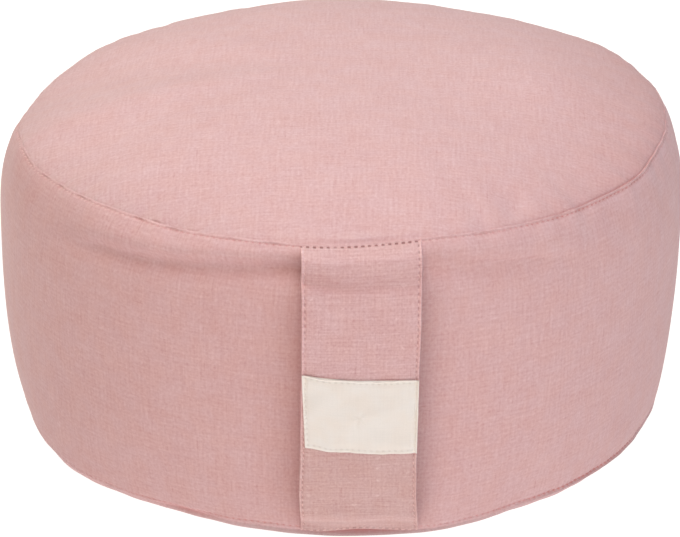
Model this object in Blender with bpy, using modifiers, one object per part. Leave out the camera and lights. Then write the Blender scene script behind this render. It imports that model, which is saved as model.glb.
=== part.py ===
"""Round meditation cushion: a filled cloth drum with a crown, a bulging side band,
lapped seams at its top and bottom, a carrying strap on the front and a bare patch on it.

Metres, +Z up.  The origin is the middle of the flat base, the strap is on the -Y side.
Angles go round +Z from +X, so the front is at -90 degrees.
"""

import math

import bmesh
import bpy
import numpy as np

# Overall form
WIDEST_RADIUS = 0.1650
WIDEST_HEIGHT = 0.1000
TOP_SEAM_RADIUS = 0.1553
TOP_SEAM_HEIGHT = 0.1530
BOTTOM_SEAM_RADIUS = 0.1563
BOTTOM_SEAM_HEIGHT = 0.0136
FLAT_RADIUS = 0.1240
CROWN_RISE = 0.0250
CROWN_POWER = 3.0

# Bulge of the wall: shares of the height from the widest place to a seam over which the cloth
# swings out below the top seam, hangs upright above and below the widest place, and is drawn in
# above the bottom seam, and the share of the drawing-in that is left there
SWING_OUT = 0.35
UPRIGHT_ABOVE = 0.40
UPRIGHT_BELOW = 0.42
DRAW_IN = 0.22
LEFT_TO_DRAW = 0.60

# Roll of the bottom panel: how far in it drops steeply, the share of the seam's height still
# to drop there, and how far in it is already level before the flat base begins
STEEP_WIDTH = 0.0040
STEEP_LEFT = 0.30
LEVEL_WIDTH = 0.0100

# Facets of the filled solid
STEPS_ROUND = 104
CROWN_ROWS = 9
UPPER_WALL_ROWS = 8
LOWER_WALL_ROWS = 9
UNDER_ROWS = 4
CURVE_POINTS = 400

# Section of a lapped seam: distance from the seam line towards the wall, height of the cloth
SEAM_SECTION = (
    (-0.0060, 0.0000),
    (-0.0015, -0.0004),
    (0.0000, 0.0005),
    (0.0011, 0.0012),
    (0.0023, 0.0003),
    (0.0036, 0.0000),
)

# Unevenness of the filling: waves round the cushion, size of each, angle where it is greatest
SEAM_RISE = (
    (1, 0.0028, -3.0),
    (2, 0.0013, 78.0),
    (4, 0.0008, 26.0),
)
TOP_OVAL = (
    (2, 0.0030, 55.0),
    (3, 0.0006, -58.0),
)
BASE_OVAL = (
    (2, 0.0018, 50.0),
    (4, 0.0010, -68.0),
)
WALL_SWELL = (
    (3, 0.0004, 35.0),
    (5, 0.0004, 80.0),
)
SEAM_PUCKERS = (
    (11, 0.0005, 4.0),
    (17, 0.0004, 13.0),
)
PUCKER_REACH = 0.0140

# Places where the top seam sags: angle, half-width in degrees, drop
SEAM_SAGS = (
    (164.0, 15.0, 0.0024),
    (48.0, 22.0, 0.0009),
)
RISE_FROM = 0.33

# Soft troughs under the top seam: angle behind the strap where each starts, angle where it has
# faded out, depth of the trough
TROUGHS = (
    (-87.0, -150.0, 0.0024),
    (-86.0, -38.0, 0.0015),
)
TROUGH_STARTS = 0.12
TROUGH_FADES = 0.60
TROUGH_DROP = 0.0085
TROUGH_SLOPE = 0.0110
TROUGH_HALF_HEIGHT = 0.0060

# Dents in the crown's edge: distance from the axis, angle, half-width, depth
CROWN_DENTS = (
    (0.1440, -58.0, 0.0110, 0.0012),
    (0.1450, -41.0, 0.0100, 0.0010),
    (0.1430, -122.0, 0.0120, 0.0008),
    (0.1400, 35.0, 0.0150, 0.0010),
    (0.1500, 165.0, 0.0280, 0.0022),
)

# Carrying strap
STRAP_WIDTH = 0.0530
STRAP_NARROWING = 0.0014
STRAP_THICKNESS = 0.0018
STRAP_AZIMUTH = -86.8
STRAP_END_DISTANCE = 0.0038
STRAP_STAND_OFF = 0.0086
STRAP_UPPER_BEND = 0.0120
STRAP_LOWER_BEND = 0.0190
STRAP_FLATTENING = 0.6
STRAP_COLUMNS = 8
STRAP_ROWS = 34

# Patch on the strap, measured on the strap's own face
PATCH_WIDTH = 0.0515
PATCH_HEIGHT = 0.0352
PATCH_MIDDLE = 0.522
PATCH_SHEAR = -0.070
PATCH_WAVE = 0.0004
PATCH_WAVE_TURN = 4.0
PATCH_THICKNESS = 0.0010
PATCH_COLUMNS = 10
PATCH_ROWS = 6

CLEARANCE = 0.00035
MERGE_DISTANCE = 0.00001


def clear_scene():
    for obj in list(bpy.data.objects):
        bpy.data.objects.remove(obj, do_unlink=True)


def make_collection(name):
    collection = bpy.data.collections.new(name)
    bpy.context.scene.collection.children.link(collection)
    return collection


def make_material(name, colour, roughness):
    material = bpy.data.materials.new(name)
    material.use_nodes = True
    shader = material.node_tree.nodes["Principled BSDF"]
    shader.inputs["Base Color"].default_value = (*colour, 1.0)
    shader.inputs["Roughness"].default_value = roughness
    shader.inputs["Metallic"].default_value = 0.0
    return material


def ease(value):
    """Smooth step from 0 to 1 as value goes from 0 to 1."""
    value = np.clip(value, 0.0, 1.0)
    return value * value * (3.0 - 2.0 * value)


def cubic(start, first, second, end, count):
    """Points on a cubic curve; the first two and last two points set its end directions."""
    t = np.linspace(0.0, 1.0, count)[:, None]
    u = 1.0 - t
    start, first, second, end = (np.array(p) for p in (start, first, second, end))
    return u**3 * start + 3 * u * u * t * first + 3 * u * t * t * second + t**3 * end


def wall_curve(upper_count, lower_count):
    """Radius and height down the side band, from the top seam to the bottom seam."""
    upper_span = TOP_SEAM_HEIGHT - WIDEST_HEIGHT
    lower_span = WIDEST_HEIGHT - BOTTOM_SEAM_HEIGHT
    lower_draw_in = WIDEST_RADIUS - BOTTOM_SEAM_RADIUS
    widest = (WIDEST_RADIUS, WIDEST_HEIGHT)
    upper = cubic(
        (TOP_SEAM_RADIUS, TOP_SEAM_HEIGHT),
        (WIDEST_RADIUS, TOP_SEAM_HEIGHT - SWING_OUT * upper_span),
        (WIDEST_RADIUS, WIDEST_HEIGHT + UPRIGHT_ABOVE * upper_span),
        widest,
        upper_count,
    )
    lower = cubic(
        widest,
        (WIDEST_RADIUS, WIDEST_HEIGHT - UPRIGHT_BELOW * lower_span),
        (
            BOTTOM_SEAM_RADIUS + LEFT_TO_DRAW * lower_draw_in,
            BOTTOM_SEAM_HEIGHT + DRAW_IN * lower_span,
        ),
        (BOTTOM_SEAM_RADIUS, BOTTOM_SEAM_HEIGHT),
        lower_count,
    )
    return np.vstack([upper, lower[1:]])


def crown_curve(count):
    """Radius and height of the top panel, from the axis out to the top seam."""
    reach = np.sin(np.linspace(0.0, math.pi / 2, count))
    height = TOP_SEAM_HEIGHT + CROWN_RISE * (1.0 - reach**CROWN_POWER)
    return np.column_stack([TOP_SEAM_RADIUS * reach, height])


def under_curve(count):
    """Radius and height of the bottom panel, from the bottom seam in to the flat base."""
    return cubic(
        (BOTTOM_SEAM_RADIUS, BOTTOM_SEAM_HEIGHT),
        (BOTTOM_SEAM_RADIUS - STEEP_WIDTH, STEEP_LEFT * BOTTOM_SEAM_HEIGHT),
        (FLAT_RADIUS + LEVEL_WIDTH, 0.0),
        (FLAT_RADIUS, 0.0),
        count,
    )


def distances(points):
    """Distance of each point of a curve from its start, along the curve."""
    steps = np.linalg.norm(np.diff(points, axis=0), axis=1)
    return np.concatenate([[0.0], np.cumsum(steps)])


def along(points, distance):
    """Points at the given distances along a curve, and the outward normals there."""
    total = distances(points)
    place = np.column_stack([np.interp(distance, total, points[:, k]) for k in (0, 1)])
    slope = np.gradient(points, total, axis=0)
    run = np.column_stack([np.interp(distance, total, slope[:, k]) for k in (0, 1)])
    run /= np.linalg.norm(run, axis=1)[:, None]
    return place, np.column_stack([-run[:, 1], run[:, 0]])


def cushion_profile():
    """Outline from the top of the axis, over both lapped seams, to the middle of the base."""
    panel = crown_curve(CURVE_POINTS)
    wall = wall_curve(CURVE_POINTS, CURVE_POINTS)
    under = under_curve(CURVE_POINTS)
    outline = np.vstack([panel, wall[1:], under[1:]])
    top_seam = distances(panel)[-1]
    bottom_seam = top_seam + distances(wall)[-1]

    section = np.array(SEAM_SECTION)
    margin = section[-1, 0]
    crown_rows = distances(crown_curve(CROWN_ROWS))[:-1]
    crown_rows = crown_rows[crown_rows < top_seam + section[0, 0] - margin]
    wall_rows = top_seam + distances(wall_curve(UPPER_WALL_ROWS, LOWER_WALL_ROWS))
    keep = (wall_rows > top_seam + 2 * margin) & (wall_rows < bottom_seam - 2 * margin)
    under_rows = bottom_seam + distances(under_curve(UNDER_ROWS))[1:]

    places = np.concatenate([
        crown_rows,
        top_seam + section[:, 0],
        wall_rows[keep],
        bottom_seam - section[::-1, 0],
        under_rows,
    ])
    heights = np.concatenate([
        np.zeros(len(crown_rows)),
        section[:, 1],
        np.zeros(keep.sum()),
        section[::-1, 1],
        np.zeros(len(under_rows)),
    ])
    order = np.argsort(places)
    point, normal = along(outline, places[order])
    point += normal * heights[order][:, None]
    point[0] = (0.0, TOP_SEAM_HEIGHT + CROWN_RISE)
    point[-1] = (FLAT_RADIUS, 0.0)
    return np.vstack([point, [(0.0, 0.0)]])


def waves(angle, table):
    """Sum of the waves in a table of count round the cushion, size and angle of the crest."""
    total = np.zeros_like(angle)
    for count, size, crest in table:
        total += size * np.cos(count * (angle - math.radians(crest)))
    return total


def uneven(points):
    """Move points as the filling settles: seams rise and dip, the wall swells, seams pucker."""
    x, y, z = points.T
    angle = np.arctan2(y, x)
    radius = np.hypot(x, y)

    rim = ease(radius / TOP_SEAM_RADIUS)
    height = np.clip(z / TOP_SEAM_HEIGHT, 0.0, 1.0)
    lift = waves(angle, SEAM_RISE)
    for middle, half_width, drop in SEAM_SAGS:
        lift -= drop * np.exp(-(((np.degrees(angle) - middle) / half_width) ** 2))
    rise = ease((height - RISE_FROM) / (1.0 - RISE_FROM)) * lift
    upper = ease(height)
    oval = upper * waves(angle, TOP_OVAL) + (1.0 - upper) * waves(angle, BASE_OVAL)
    swell = oval + np.sin(math.pi * height) * waves(angle, WALL_SWELL)

    top_pull = np.exp(-(((z - TOP_SEAM_HEIGHT) / PUCKER_REACH) ** 2))
    bottom_pull = np.exp(-(((z - BOTTOM_SEAM_HEIGHT) / PUCKER_REACH) ** 2))
    bottom_pull *= ease(z / BOTTOM_SEAM_HEIGHT)
    pucker = (top_pull + bottom_pull) * rim**4 * waves(angle, SEAM_PUCKERS)

    grown = 1.0 + (swell * rim + pucker) / np.maximum(radius, FLAT_RADIUS)
    return np.column_stack([x * grown, y * grown, z + rise * rim])


def sink_troughs(points):
    """Press the soft troughs beside the strap into the wall, under the top seam."""
    x, y, z = points.T
    degrees = np.degrees(np.arctan2(y, x))
    radius = np.hypot(x, y)
    pressed = np.zeros_like(z)
    for begins, ends, depth in TROUGHS:
        travel = (degrees - begins) / (ends - begins)
        window = ease(travel / TROUGH_STARTS) * ease((1.0 - travel) / TROUGH_FADES)
        middle = TOP_SEAM_HEIGHT - TROUGH_DROP - TROUGH_SLOPE * np.clip(travel, 0.0, 1.0)
        pressed += depth * window * np.exp(-(((z - middle) / TROUGH_HALF_HEIGHT) ** 2))
    shrunk = 1.0 - pressed * (radius > TOP_SEAM_RADIUS) / np.maximum(radius, FLAT_RADIUS)
    return np.column_stack([x * shrunk, y * shrunk, z])


def press_dents(points):
    """Lower the crown a little at each dent near its edge."""
    x, y, z = points.T
    lowered = np.zeros_like(z)
    for distance, degrees, half_width, depth in CROWN_DENTS:
        angle = math.radians(degrees)
        gap = np.hypot(x - distance * math.cos(angle), y - distance * math.sin(angle))
        lowered += depth * np.exp(-((gap / half_width) ** 2))
    return np.column_stack([x, y, z - lowered * (z > TOP_SEAM_HEIGHT)])


def read_points(mesh):
    points = np.empty(len(mesh.vertices) * 3)
    mesh.vertices.foreach_get("co", points)
    return points.reshape(-1, 3)


def write_points(mesh, points):
    mesh.vertices.foreach_set("co", points.ravel())
    mesh.update()


def turned_mesh(name, profile):
    """Mesh of a profile turned a full circle about Z with a Screw modifier."""
    outline = bpy.data.meshes.new(name + "_outline")
    edges = [(k, k + 1) for k in range(len(profile) - 1)]
    outline.from_pydata([(r, 0.0, z) for r, z in profile], edges, [])
    turned = bpy.data.objects.new(name + "_outline", outline)
    bpy.context.scene.collection.objects.link(turned)
    screw = turned.modifiers.new("turn", "SCREW")
    screw.axis = "Z"
    screw.steps = STEPS_ROUND
    screw.render_steps = STEPS_ROUND
    screw.use_merge_vertices = True
    screw.merge_threshold = MERGE_DISTANCE
    depsgraph = bpy.context.evaluated_depsgraph_get()
    mesh = bpy.data.meshes.new_from_object(turned.evaluated_get(depsgraph))
    bpy.data.objects.remove(turned, do_unlink=True)
    mesh.name = name
    return mesh


def build_cushion(collection, material):
    mesh = turned_mesh("filled_cushion", cushion_profile())
    points = read_points(mesh)
    points = press_dents(points)
    points = sink_troughs(points)
    points = uneven(points)
    write_points(mesh, points)
    mesh.materials.append(material)
    mesh.shade_smooth()
    cushion = bpy.data.objects.new("filled_cushion", mesh)
    collection.objects.link(cushion)
    return cushion


def strap_room(wall):
    """Length of wall that the strap spans, between the two lapped seams."""
    return distances(wall)[-1] - 2 * STRAP_END_DISTANCE


def strap_points(across, travel, lift):
    """Points over the strap: metres across it, 0 to 1 down it, metres above its inner face."""
    wall = wall_curve(CURVE_POINTS, CURVE_POINTS)
    room = strap_room(wall)
    place, normal = along(wall, STRAP_END_DISTANCE + travel * room)
    from_top = ease(travel * room / STRAP_UPPER_BEND)
    from_bottom = ease((1.0 - travel) * room / STRAP_LOWER_BEND)
    hang = from_top * from_bottom
    flatter = STRAP_FLATTENING * across**2 / (2 * WIDEST_RADIUS)
    height = CLEARANCE + hang * (STRAP_STAND_OFF + flatter) + lift
    radius = place[:, 0] + normal[:, 0] * height
    z = place[:, 1] + normal[:, 1] * height
    angle = math.radians(STRAP_AZIMUTH) + across / radius
    return uneven(np.column_stack([radius * np.cos(angle), radius * np.sin(angle), z]))


def sheet_grid(name, columns, rows):
    """Flat grid mesh and the places of its points, -1 to 1 across and 0 to 1 down."""
    sheet = bmesh.new()
    bmesh.ops.create_grid(sheet, x_segments=columns, y_segments=rows, size=1.0)
    mesh = bpy.data.meshes.new(name)
    sheet.to_mesh(mesh)
    sheet.free()
    flat = read_points(mesh)
    return mesh, flat[:, 0], (1.0 - flat[:, 1]) / 2


def thicken(sheet, thickness):
    solidify = sheet.modifiers.new("thickness", "SOLIDIFY")
    solidify.thickness = thickness
    solidify.offset = 1.0
    solidify.use_even_offset = True


def build_strap(collection, material):
    mesh, across, travel = sheet_grid("handle_strap", STRAP_COLUMNS, STRAP_ROWS)
    width = STRAP_WIDTH - STRAP_NARROWING * np.sin(math.pi * travel)
    write_points(mesh, strap_points(across * width / 2, travel, 0.0))
    mesh.materials.append(material)
    strap = bpy.data.objects.new("handle_strap", mesh)
    collection.objects.link(strap)
    thicken(strap, STRAP_THICKNESS)
    return strap


def build_patch(collection, material):
    mesh, across, travel = sheet_grid("label", PATCH_COLUMNS, PATCH_ROWS)
    room = strap_room(wall_curve(CURVE_POINTS, CURVE_POINTS))
    sideways = across * PATCH_WIDTH / 2
    down = (travel - 0.5) * PATCH_HEIGHT - PATCH_SHEAR * sideways
    down += PATCH_WAVE * np.sin(PATCH_WAVE_TURN * across)
    lift = STRAP_THICKNESS + CLEARANCE
    points = strap_points(sideways, PATCH_MIDDLE + down / room, lift)
    write_points(mesh, points)
    mesh.materials.append(material)
    patch = bpy.data.objects.new("label", mesh)
    collection.objects.link(patch)
    thicken(patch, PATCH_THICKNESS)
    return patch


def main():
    clear_scene()
    collection = make_collection("meditation_cushion")
    pink = make_material("pink_plain_weave", (0.64, 0.38, 0.36), 0.9)
    strap_pink = make_material("pink_strap_cloth", (0.67, 0.39, 0.36), 0.9)
    cream = make_material("cream_patch_cloth", (0.86, 0.80, 0.73), 0.8)
    build_cushion(collection, pink)
    build_strap(collection, strap_pink)
    build_patch(collection, cream)


main()
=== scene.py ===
import math

import bpy
import numpy as np
from mathutils import Matrix, Vector


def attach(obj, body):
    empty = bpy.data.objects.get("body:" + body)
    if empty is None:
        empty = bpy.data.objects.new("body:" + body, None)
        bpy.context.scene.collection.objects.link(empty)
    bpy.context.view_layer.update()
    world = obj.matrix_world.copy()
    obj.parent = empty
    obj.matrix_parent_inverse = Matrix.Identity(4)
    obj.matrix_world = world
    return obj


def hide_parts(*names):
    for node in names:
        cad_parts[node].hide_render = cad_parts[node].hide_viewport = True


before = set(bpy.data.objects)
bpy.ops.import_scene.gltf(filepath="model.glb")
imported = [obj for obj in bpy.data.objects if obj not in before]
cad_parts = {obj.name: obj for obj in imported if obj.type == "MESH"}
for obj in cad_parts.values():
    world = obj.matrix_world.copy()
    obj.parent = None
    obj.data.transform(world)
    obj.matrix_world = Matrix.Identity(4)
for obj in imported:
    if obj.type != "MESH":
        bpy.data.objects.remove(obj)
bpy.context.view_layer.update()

# Round meditation cushion, metres, +Z up, strap towards -Y. Angles go round +Z from +X, so the
# front is at -90 degrees. "Distance" runs over the cushion from the middle of the crown, down the
# side band and under to the middle of the base.

fullTurn = 2 * math.pi

# overall form, the same sizes as the solids have
cushion = {
    "widestRadius": 0.1650,
    "widestHeight": 0.1000,
    "topSeamRadius": 0.1553,
    "topSeamHeight": 0.1530,
    "bottomSeamRadius": 0.1563,
    "bottomSeamHeight": 0.0136,
    "flatRadius": 0.1240,
    "crownRise": 0.0250,
    "crownPower": 3.0,
    "swingOut": 0.35,  # shares of the height over which the band swings out, stands and draws in
    "uprightAbove": 0.40,
    "uprightBelow": 0.42,
    "drawIn": 0.22,
    "leftToDraw": 0.60,
    "steepWidth": 0.0040,  # roll of the bottom panel
    "steepLeft": 0.30,
    "levelWidth": 0.0100,
    "curvePoints": 400,
}


def ease(value):
    # 3 v^2 - 2 v^3 with v clipped to 0..1
    value = np.clip(value, 0.0, 1.0)
    return value * value * (3.0 - 2.0 * value)


def bell(value):
    # exp(-v^2)
    return np.exp(-np.square(value))


def cubic(start, first, second, end, count):
    # Bezier cubic (1-t)^3 a + 3 (1-t)^2 t b + 3 (1-t) t^2 c + t^3 d at even steps of t
    t = np.linspace(0.0, 1.0, count)[:, None]
    u = 1.0 - t
    start, first, second, end = (np.array(p) for p in (start, first, second, end))
    return u**3 * start + 3 * u * u * t * first + 3 * u * t * t * second + t**3 * end


def distances(points):
    # running length of a polyline
    steps = np.linalg.norm(np.diff(points, axis=0), axis=1)
    return np.concatenate([[0.0], np.cumsum(steps)])


def makeOutline(c):
    # radius and height: crown z = seam + rise (1 - (r / seam radius)^power), band as two cubics
    # that meet at the widest place, roll of the bottom panel as one cubic, then the flat base
    count = c["curvePoints"]
    reach = np.sin(np.linspace(0.0, math.pi / 2, count))
    crownHeight = c["topSeamHeight"] + c["crownRise"] * (1.0 - reach ** c["crownPower"])
    crown = np.column_stack([c["topSeamRadius"] * reach, crownHeight])

    upperSpan = c["topSeamHeight"] - c["widestHeight"]
    lowerSpan = c["widestHeight"] - c["bottomSeamHeight"]
    wide = c["widestRadius"]
    bottomRadius = c["bottomSeamRadius"]
    widest = (wide, c["widestHeight"])
    upper = cubic(
        (c["topSeamRadius"], c["topSeamHeight"]),
        (wide, c["topSeamHeight"] - c["swingOut"] * upperSpan),
        (wide, c["widestHeight"] + c["uprightAbove"] * upperSpan),
        widest,
        count,
    )
    drawnIn = bottomRadius + c["leftToDraw"] * (wide - bottomRadius)
    lower = cubic(
        widest,
        (wide, c["widestHeight"] - c["uprightBelow"] * lowerSpan),
        (drawnIn, c["bottomSeamHeight"] + c["drawIn"] * lowerSpan),
        (bottomRadius, c["bottomSeamHeight"]),
        count,
    )
    under = cubic(
        (bottomRadius, c["bottomSeamHeight"]),
        (bottomRadius - c["steepWidth"], c["steepLeft"] * c["bottomSeamHeight"]),
        (c["flatRadius"] + c["levelWidth"], 0.0),
        (c["flatRadius"], 0.0),
        count,
    )
    band = np.vstack([upper, lower[1:]])
    return crown, band, under, np.array([[0.0, 0.0]])


crownPart, bandPart, underPart, baseMiddle = makeOutline(cushion)
outline = np.vstack([crownPart, bandPart[1:], underPart[1:], baseMiddle])
outlineAt = distances(outline)
outlineRun = np.gradient(outline, outlineAt, axis=0)
outlineRun /= np.linalg.norm(outlineRun, axis=1)[:, None]
topSeamAt = distances(crownPart)[-1]
bandLength = distances(bandPart)[-1]
bottomSeamAt = topSeamAt + bandLength
flatAt = bottomSeamAt + distances(underPart)[-1]
baseMiddleAt = outlineAt[-1]
print("band is", round(bandLength * 1000, 1), "mm deep, crown", round(topSeamAt * 1000, 1), "mm")


def onOutline(distance):
    # radius, height and outward normal at a distance, each read off the outline
    place = [np.interp(distance, outlineAt, outline[:, k]) for k in (0, 1)]
    run = [np.interp(distance, outlineAt, outlineRun[:, k]) for k in (0, 1)]
    return place[0], place[1], -run[1], run[0]


# how the filling has settled: waves are (count round the cushion, size, angle of the crest)
settling = {
    "seamRise": ((1, 0.0028, -3.0), (2, 0.0013, 78.0), (4, 0.0008, 26.0)),
    "topOval": ((2, 0.0030, 55.0), (3, 0.0006, -58.0)),
    "baseOval": ((2, 0.0018, 50.0), (4, 0.0010, -68.0)),
    "bandSwell": ((3, 0.0004, 35.0), (5, 0.0004, 80.0)),
    "seamPuckers": ((11, 0.0005, 4.0), (17, 0.0004, 13.0)),
    "puckerReach": 0.0140,
    "lowPucker": 0.5,
    "seamSags": (  # angle, half-width, drop
        (171.0, 14.0, 0.0034),
        (148.0, 10.0, -0.0020),
        (52.0, 22.0, 0.0015),
        (26.0, 12.0, -0.0010),
        (-8.0, 16.0, -0.0016),
        (-37.0, 11.0, 0.0001),
        (-45.0, 11.0, 0.0008),
        (-73.0, 7.0, -0.0008),
        (-109.0, 7.0, -0.0003),
        (-128.0, 14.0, -0.0016),
        (-134.0, 9.0, -0.0008),
        (-164.0, 9.0, -0.0034),
        (-102.0, 14.0, -0.0006),
    ),
    "lowSags": (
        (-126.0, 15.0, 0.0020),
        (-108.0, 8.0, 0.0006),
        (-90.0, 9.0, 0.0008),
        (-74.0, 8.0, 0.0018),
    ),
    "lowSagsStart": 0.125,  # shares of the height
    "lowSagsFade": 0.30,
    "lowSagsTo": 0.45,
    "lowSwells": (  # angle, half-width, swell of the lower band
        (-162.0, 8.0, -0.0024),
        (-142.0, 7.0, 0.0022),
        (-120.0, 11.0, -0.0022),
        (-56.0, 8.0, -0.0020),
        (-8.0, 12.0, 0.0013),
    ),
    "lowSwellsTo": 0.42,
    "riseFrom": 0.33,
    "troughs": ((-87.0, -150.0, 0.0024), (-86.0, -38.0, 0.0015)),  # from, to, depth
    "troughStarts": 0.12,
    "troughFades": 0.60,
    "troughDrop": 0.0085,
    "troughSlope": 0.0150,
    "troughHalfHeight": 0.0060,
    "crownDents": (  # distance from the axis, angle, half-width, depth, less than 0 for a swell
        (0.1440, -58.0, 0.0110, 0.0012),
        (0.1450, -41.0, 0.0100, 0.0010),
        (0.1430, -122.0, 0.0120, 0.0008),
        (0.1380, 167.0, 0.0240, 0.0016),
        (0.1440, 113.0, 0.0240, 0.0013),
        (0.1440, 68.0, 0.0240, 0.0010),
        (0.1000, 0.0, 0.0380, -0.0036),
    ),
    "dentsEndOver": 0.0100,
    "crownFolds": (  # x, y at both ends, half-width, depth
        (0.0735, -0.1340, 0.0800, -0.1150, 0.0030, 0.0009),
        (0.0620, -0.1400, 0.0630, -0.1340, 0.0022, 0.0004),
        (0.0920, -0.1220, 0.1060, -0.1090, 0.0034, 0.0006),
    ),
}


def waves(angle, table):
    # sum of size cos(count (angle - crest))
    total = np.zeros_like(angle)
    for count, size, crest in table:
        total += size * np.cos(count * (angle - math.radians(crest)))
    return total


def placed(angle, elsewhere, places):
    # elsewhere + sum of size exp(-((angle - middle) / half-width)^2), angles in degrees there
    total = np.full_like(angle, elsewhere)
    for middle, halfWidth, size in places:
        gap = np.mod(np.degrees(angle) - middle + 180.0, 360.0) - 180.0
        total += size * bell(gap / halfWidth)
    return total


def uneven(points):
    # seams rise and dip, the form is a little oval, the band swells and the seams pucker:
    # x, y grow by 1 + (swell rim + pucker) / radius, z by rise rim
    s = settling
    x, y, z = np.moveaxis(points, -1, 0)
    angle = np.arctan2(y, x)
    radius = np.hypot(x, y)
    rim = ease(radius / cushion["topSeamRadius"])
    height = np.clip(z / cushion["topSeamHeight"], 0.0, 1.0)
    lift = waves(angle, s["seamRise"]) - placed(angle, 0.0, s["seamSags"])
    rise = ease((height - s["riseFrom"]) / (1.0 - s["riseFrom"])) * lift
    low = ease(height / s["lowSagsStart"]) * ease((s["lowSagsTo"] - height) / s["lowSagsFade"])
    rise -= low * placed(angle, 0.0, s["lowSags"])
    upper = ease(height)
    oval = upper * waves(angle, s["topOval"]) + (1.0 - upper) * waves(angle, s["baseOval"])
    swell = oval + np.sin(math.pi * height) * waves(angle, s["bandSwell"])
    swell += ease(1.0 - height / s["lowSwellsTo"]) * placed(angle, 0.0, s["lowSwells"])
    topPull = bell((z - cushion["topSeamHeight"]) / s["puckerReach"])
    bottomPull = bell((z - cushion["bottomSeamHeight"]) / s["puckerReach"])
    bottomPull *= ease(z / cushion["bottomSeamHeight"])
    pucker = (topPull + s["lowPucker"] * bottomPull) * rim**4 * waves(angle, s["seamPuckers"])
    grown = 1.0 + (swell * rim + pucker) / np.maximum(radius, cushion["flatRadius"])
    return np.stack([x * grown, y * grown, z + rise * rim], axis=-1)


def sinkTroughs(points):
    # soft troughs beside the strap: x, y shrink by depth window exp(-((z - middle) / half)^2)
    s = settling
    x, y, z = np.moveaxis(points, -1, 0)
    degrees = np.degrees(np.arctan2(y, x))
    radius = np.hypot(x, y)
    pressed = np.zeros_like(z)
    for begins, ends, depth in s["troughs"]:
        travel = (degrees - begins) / (ends - begins)
        window = ease(travel / s["troughStarts"]) * ease((1.0 - travel) / s["troughFades"])
        middle = cushion["topSeamHeight"] - s["troughDrop"]
        middle = middle - s["troughSlope"] * np.clip(travel, 0.0, 1.0)
        pressed += depth * window * bell((z - middle) / s["troughHalfHeight"])
    onBand = radius > cushion["topSeamRadius"]
    shrunk = 1.0 - pressed * onBand / np.maximum(radius, cushion["flatRadius"])
    return np.stack([x * shrunk, y * shrunk, z], axis=-1)


def pressDents(points):
    # each dent and fold lowers the crown by depth exp(-(gap / half-width)^2)
    x, y, z = np.moveaxis(points, -1, 0)
    lowered = np.zeros_like(z)
    for distance, degrees, halfWidth, depth in settling["crownDents"]:
        angle = math.radians(degrees)
        gap = np.hypot(x - distance * math.cos(angle), y - distance * math.sin(angle))
        lowered += depth * bell(gap / halfWidth)
    for startX, startY, endX, endY, halfWidth, depth in settling["crownFolds"]:
        runX, runY = endX - startX, endY - startY
        travel = ((x - startX) * runX + (y - startY) * runY) / (runX**2 + runY**2)
        travel = np.clip(travel, 0.0, 1.0)
        gap = np.hypot(x - startX - travel * runX, y - startY - travel * runY)
        lowered += depth * bell(gap / halfWidth)
    inside = ease((cushion["topSeamRadius"] - np.hypot(x, y)) / settling["dentsEndOver"])
    return np.stack([x, y, z - lowered * inside * (z > 0.5 * cushion["topSeamHeight"])], axis=-1)


def pulse(phase):
    # 0 to 1, once to each turn of the phase: (1 + cos(phase)) / 2
    return 0.5 + 0.5 * np.cos(phase)


def wander(angle, lowest, highest, seed):
    # seeded sum of size cos(count angle + phase) over whole counts, sizes from 0.4 to 1, divided
    # by 1.6 times its root mean square, so that it stays about -1 to 1
    draw = np.random.default_rng(seed)
    total = np.zeros_like(angle)
    power = 0.0
    for count in range(lowest, highest + 1):
        size = draw.uniform(0.4, 1.0)
        total += size * np.cos(count * angle + draw.uniform(0.0, fullTurn))
        power += size * size / 2
    return total / (1.6 * math.sqrt(power))


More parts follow.
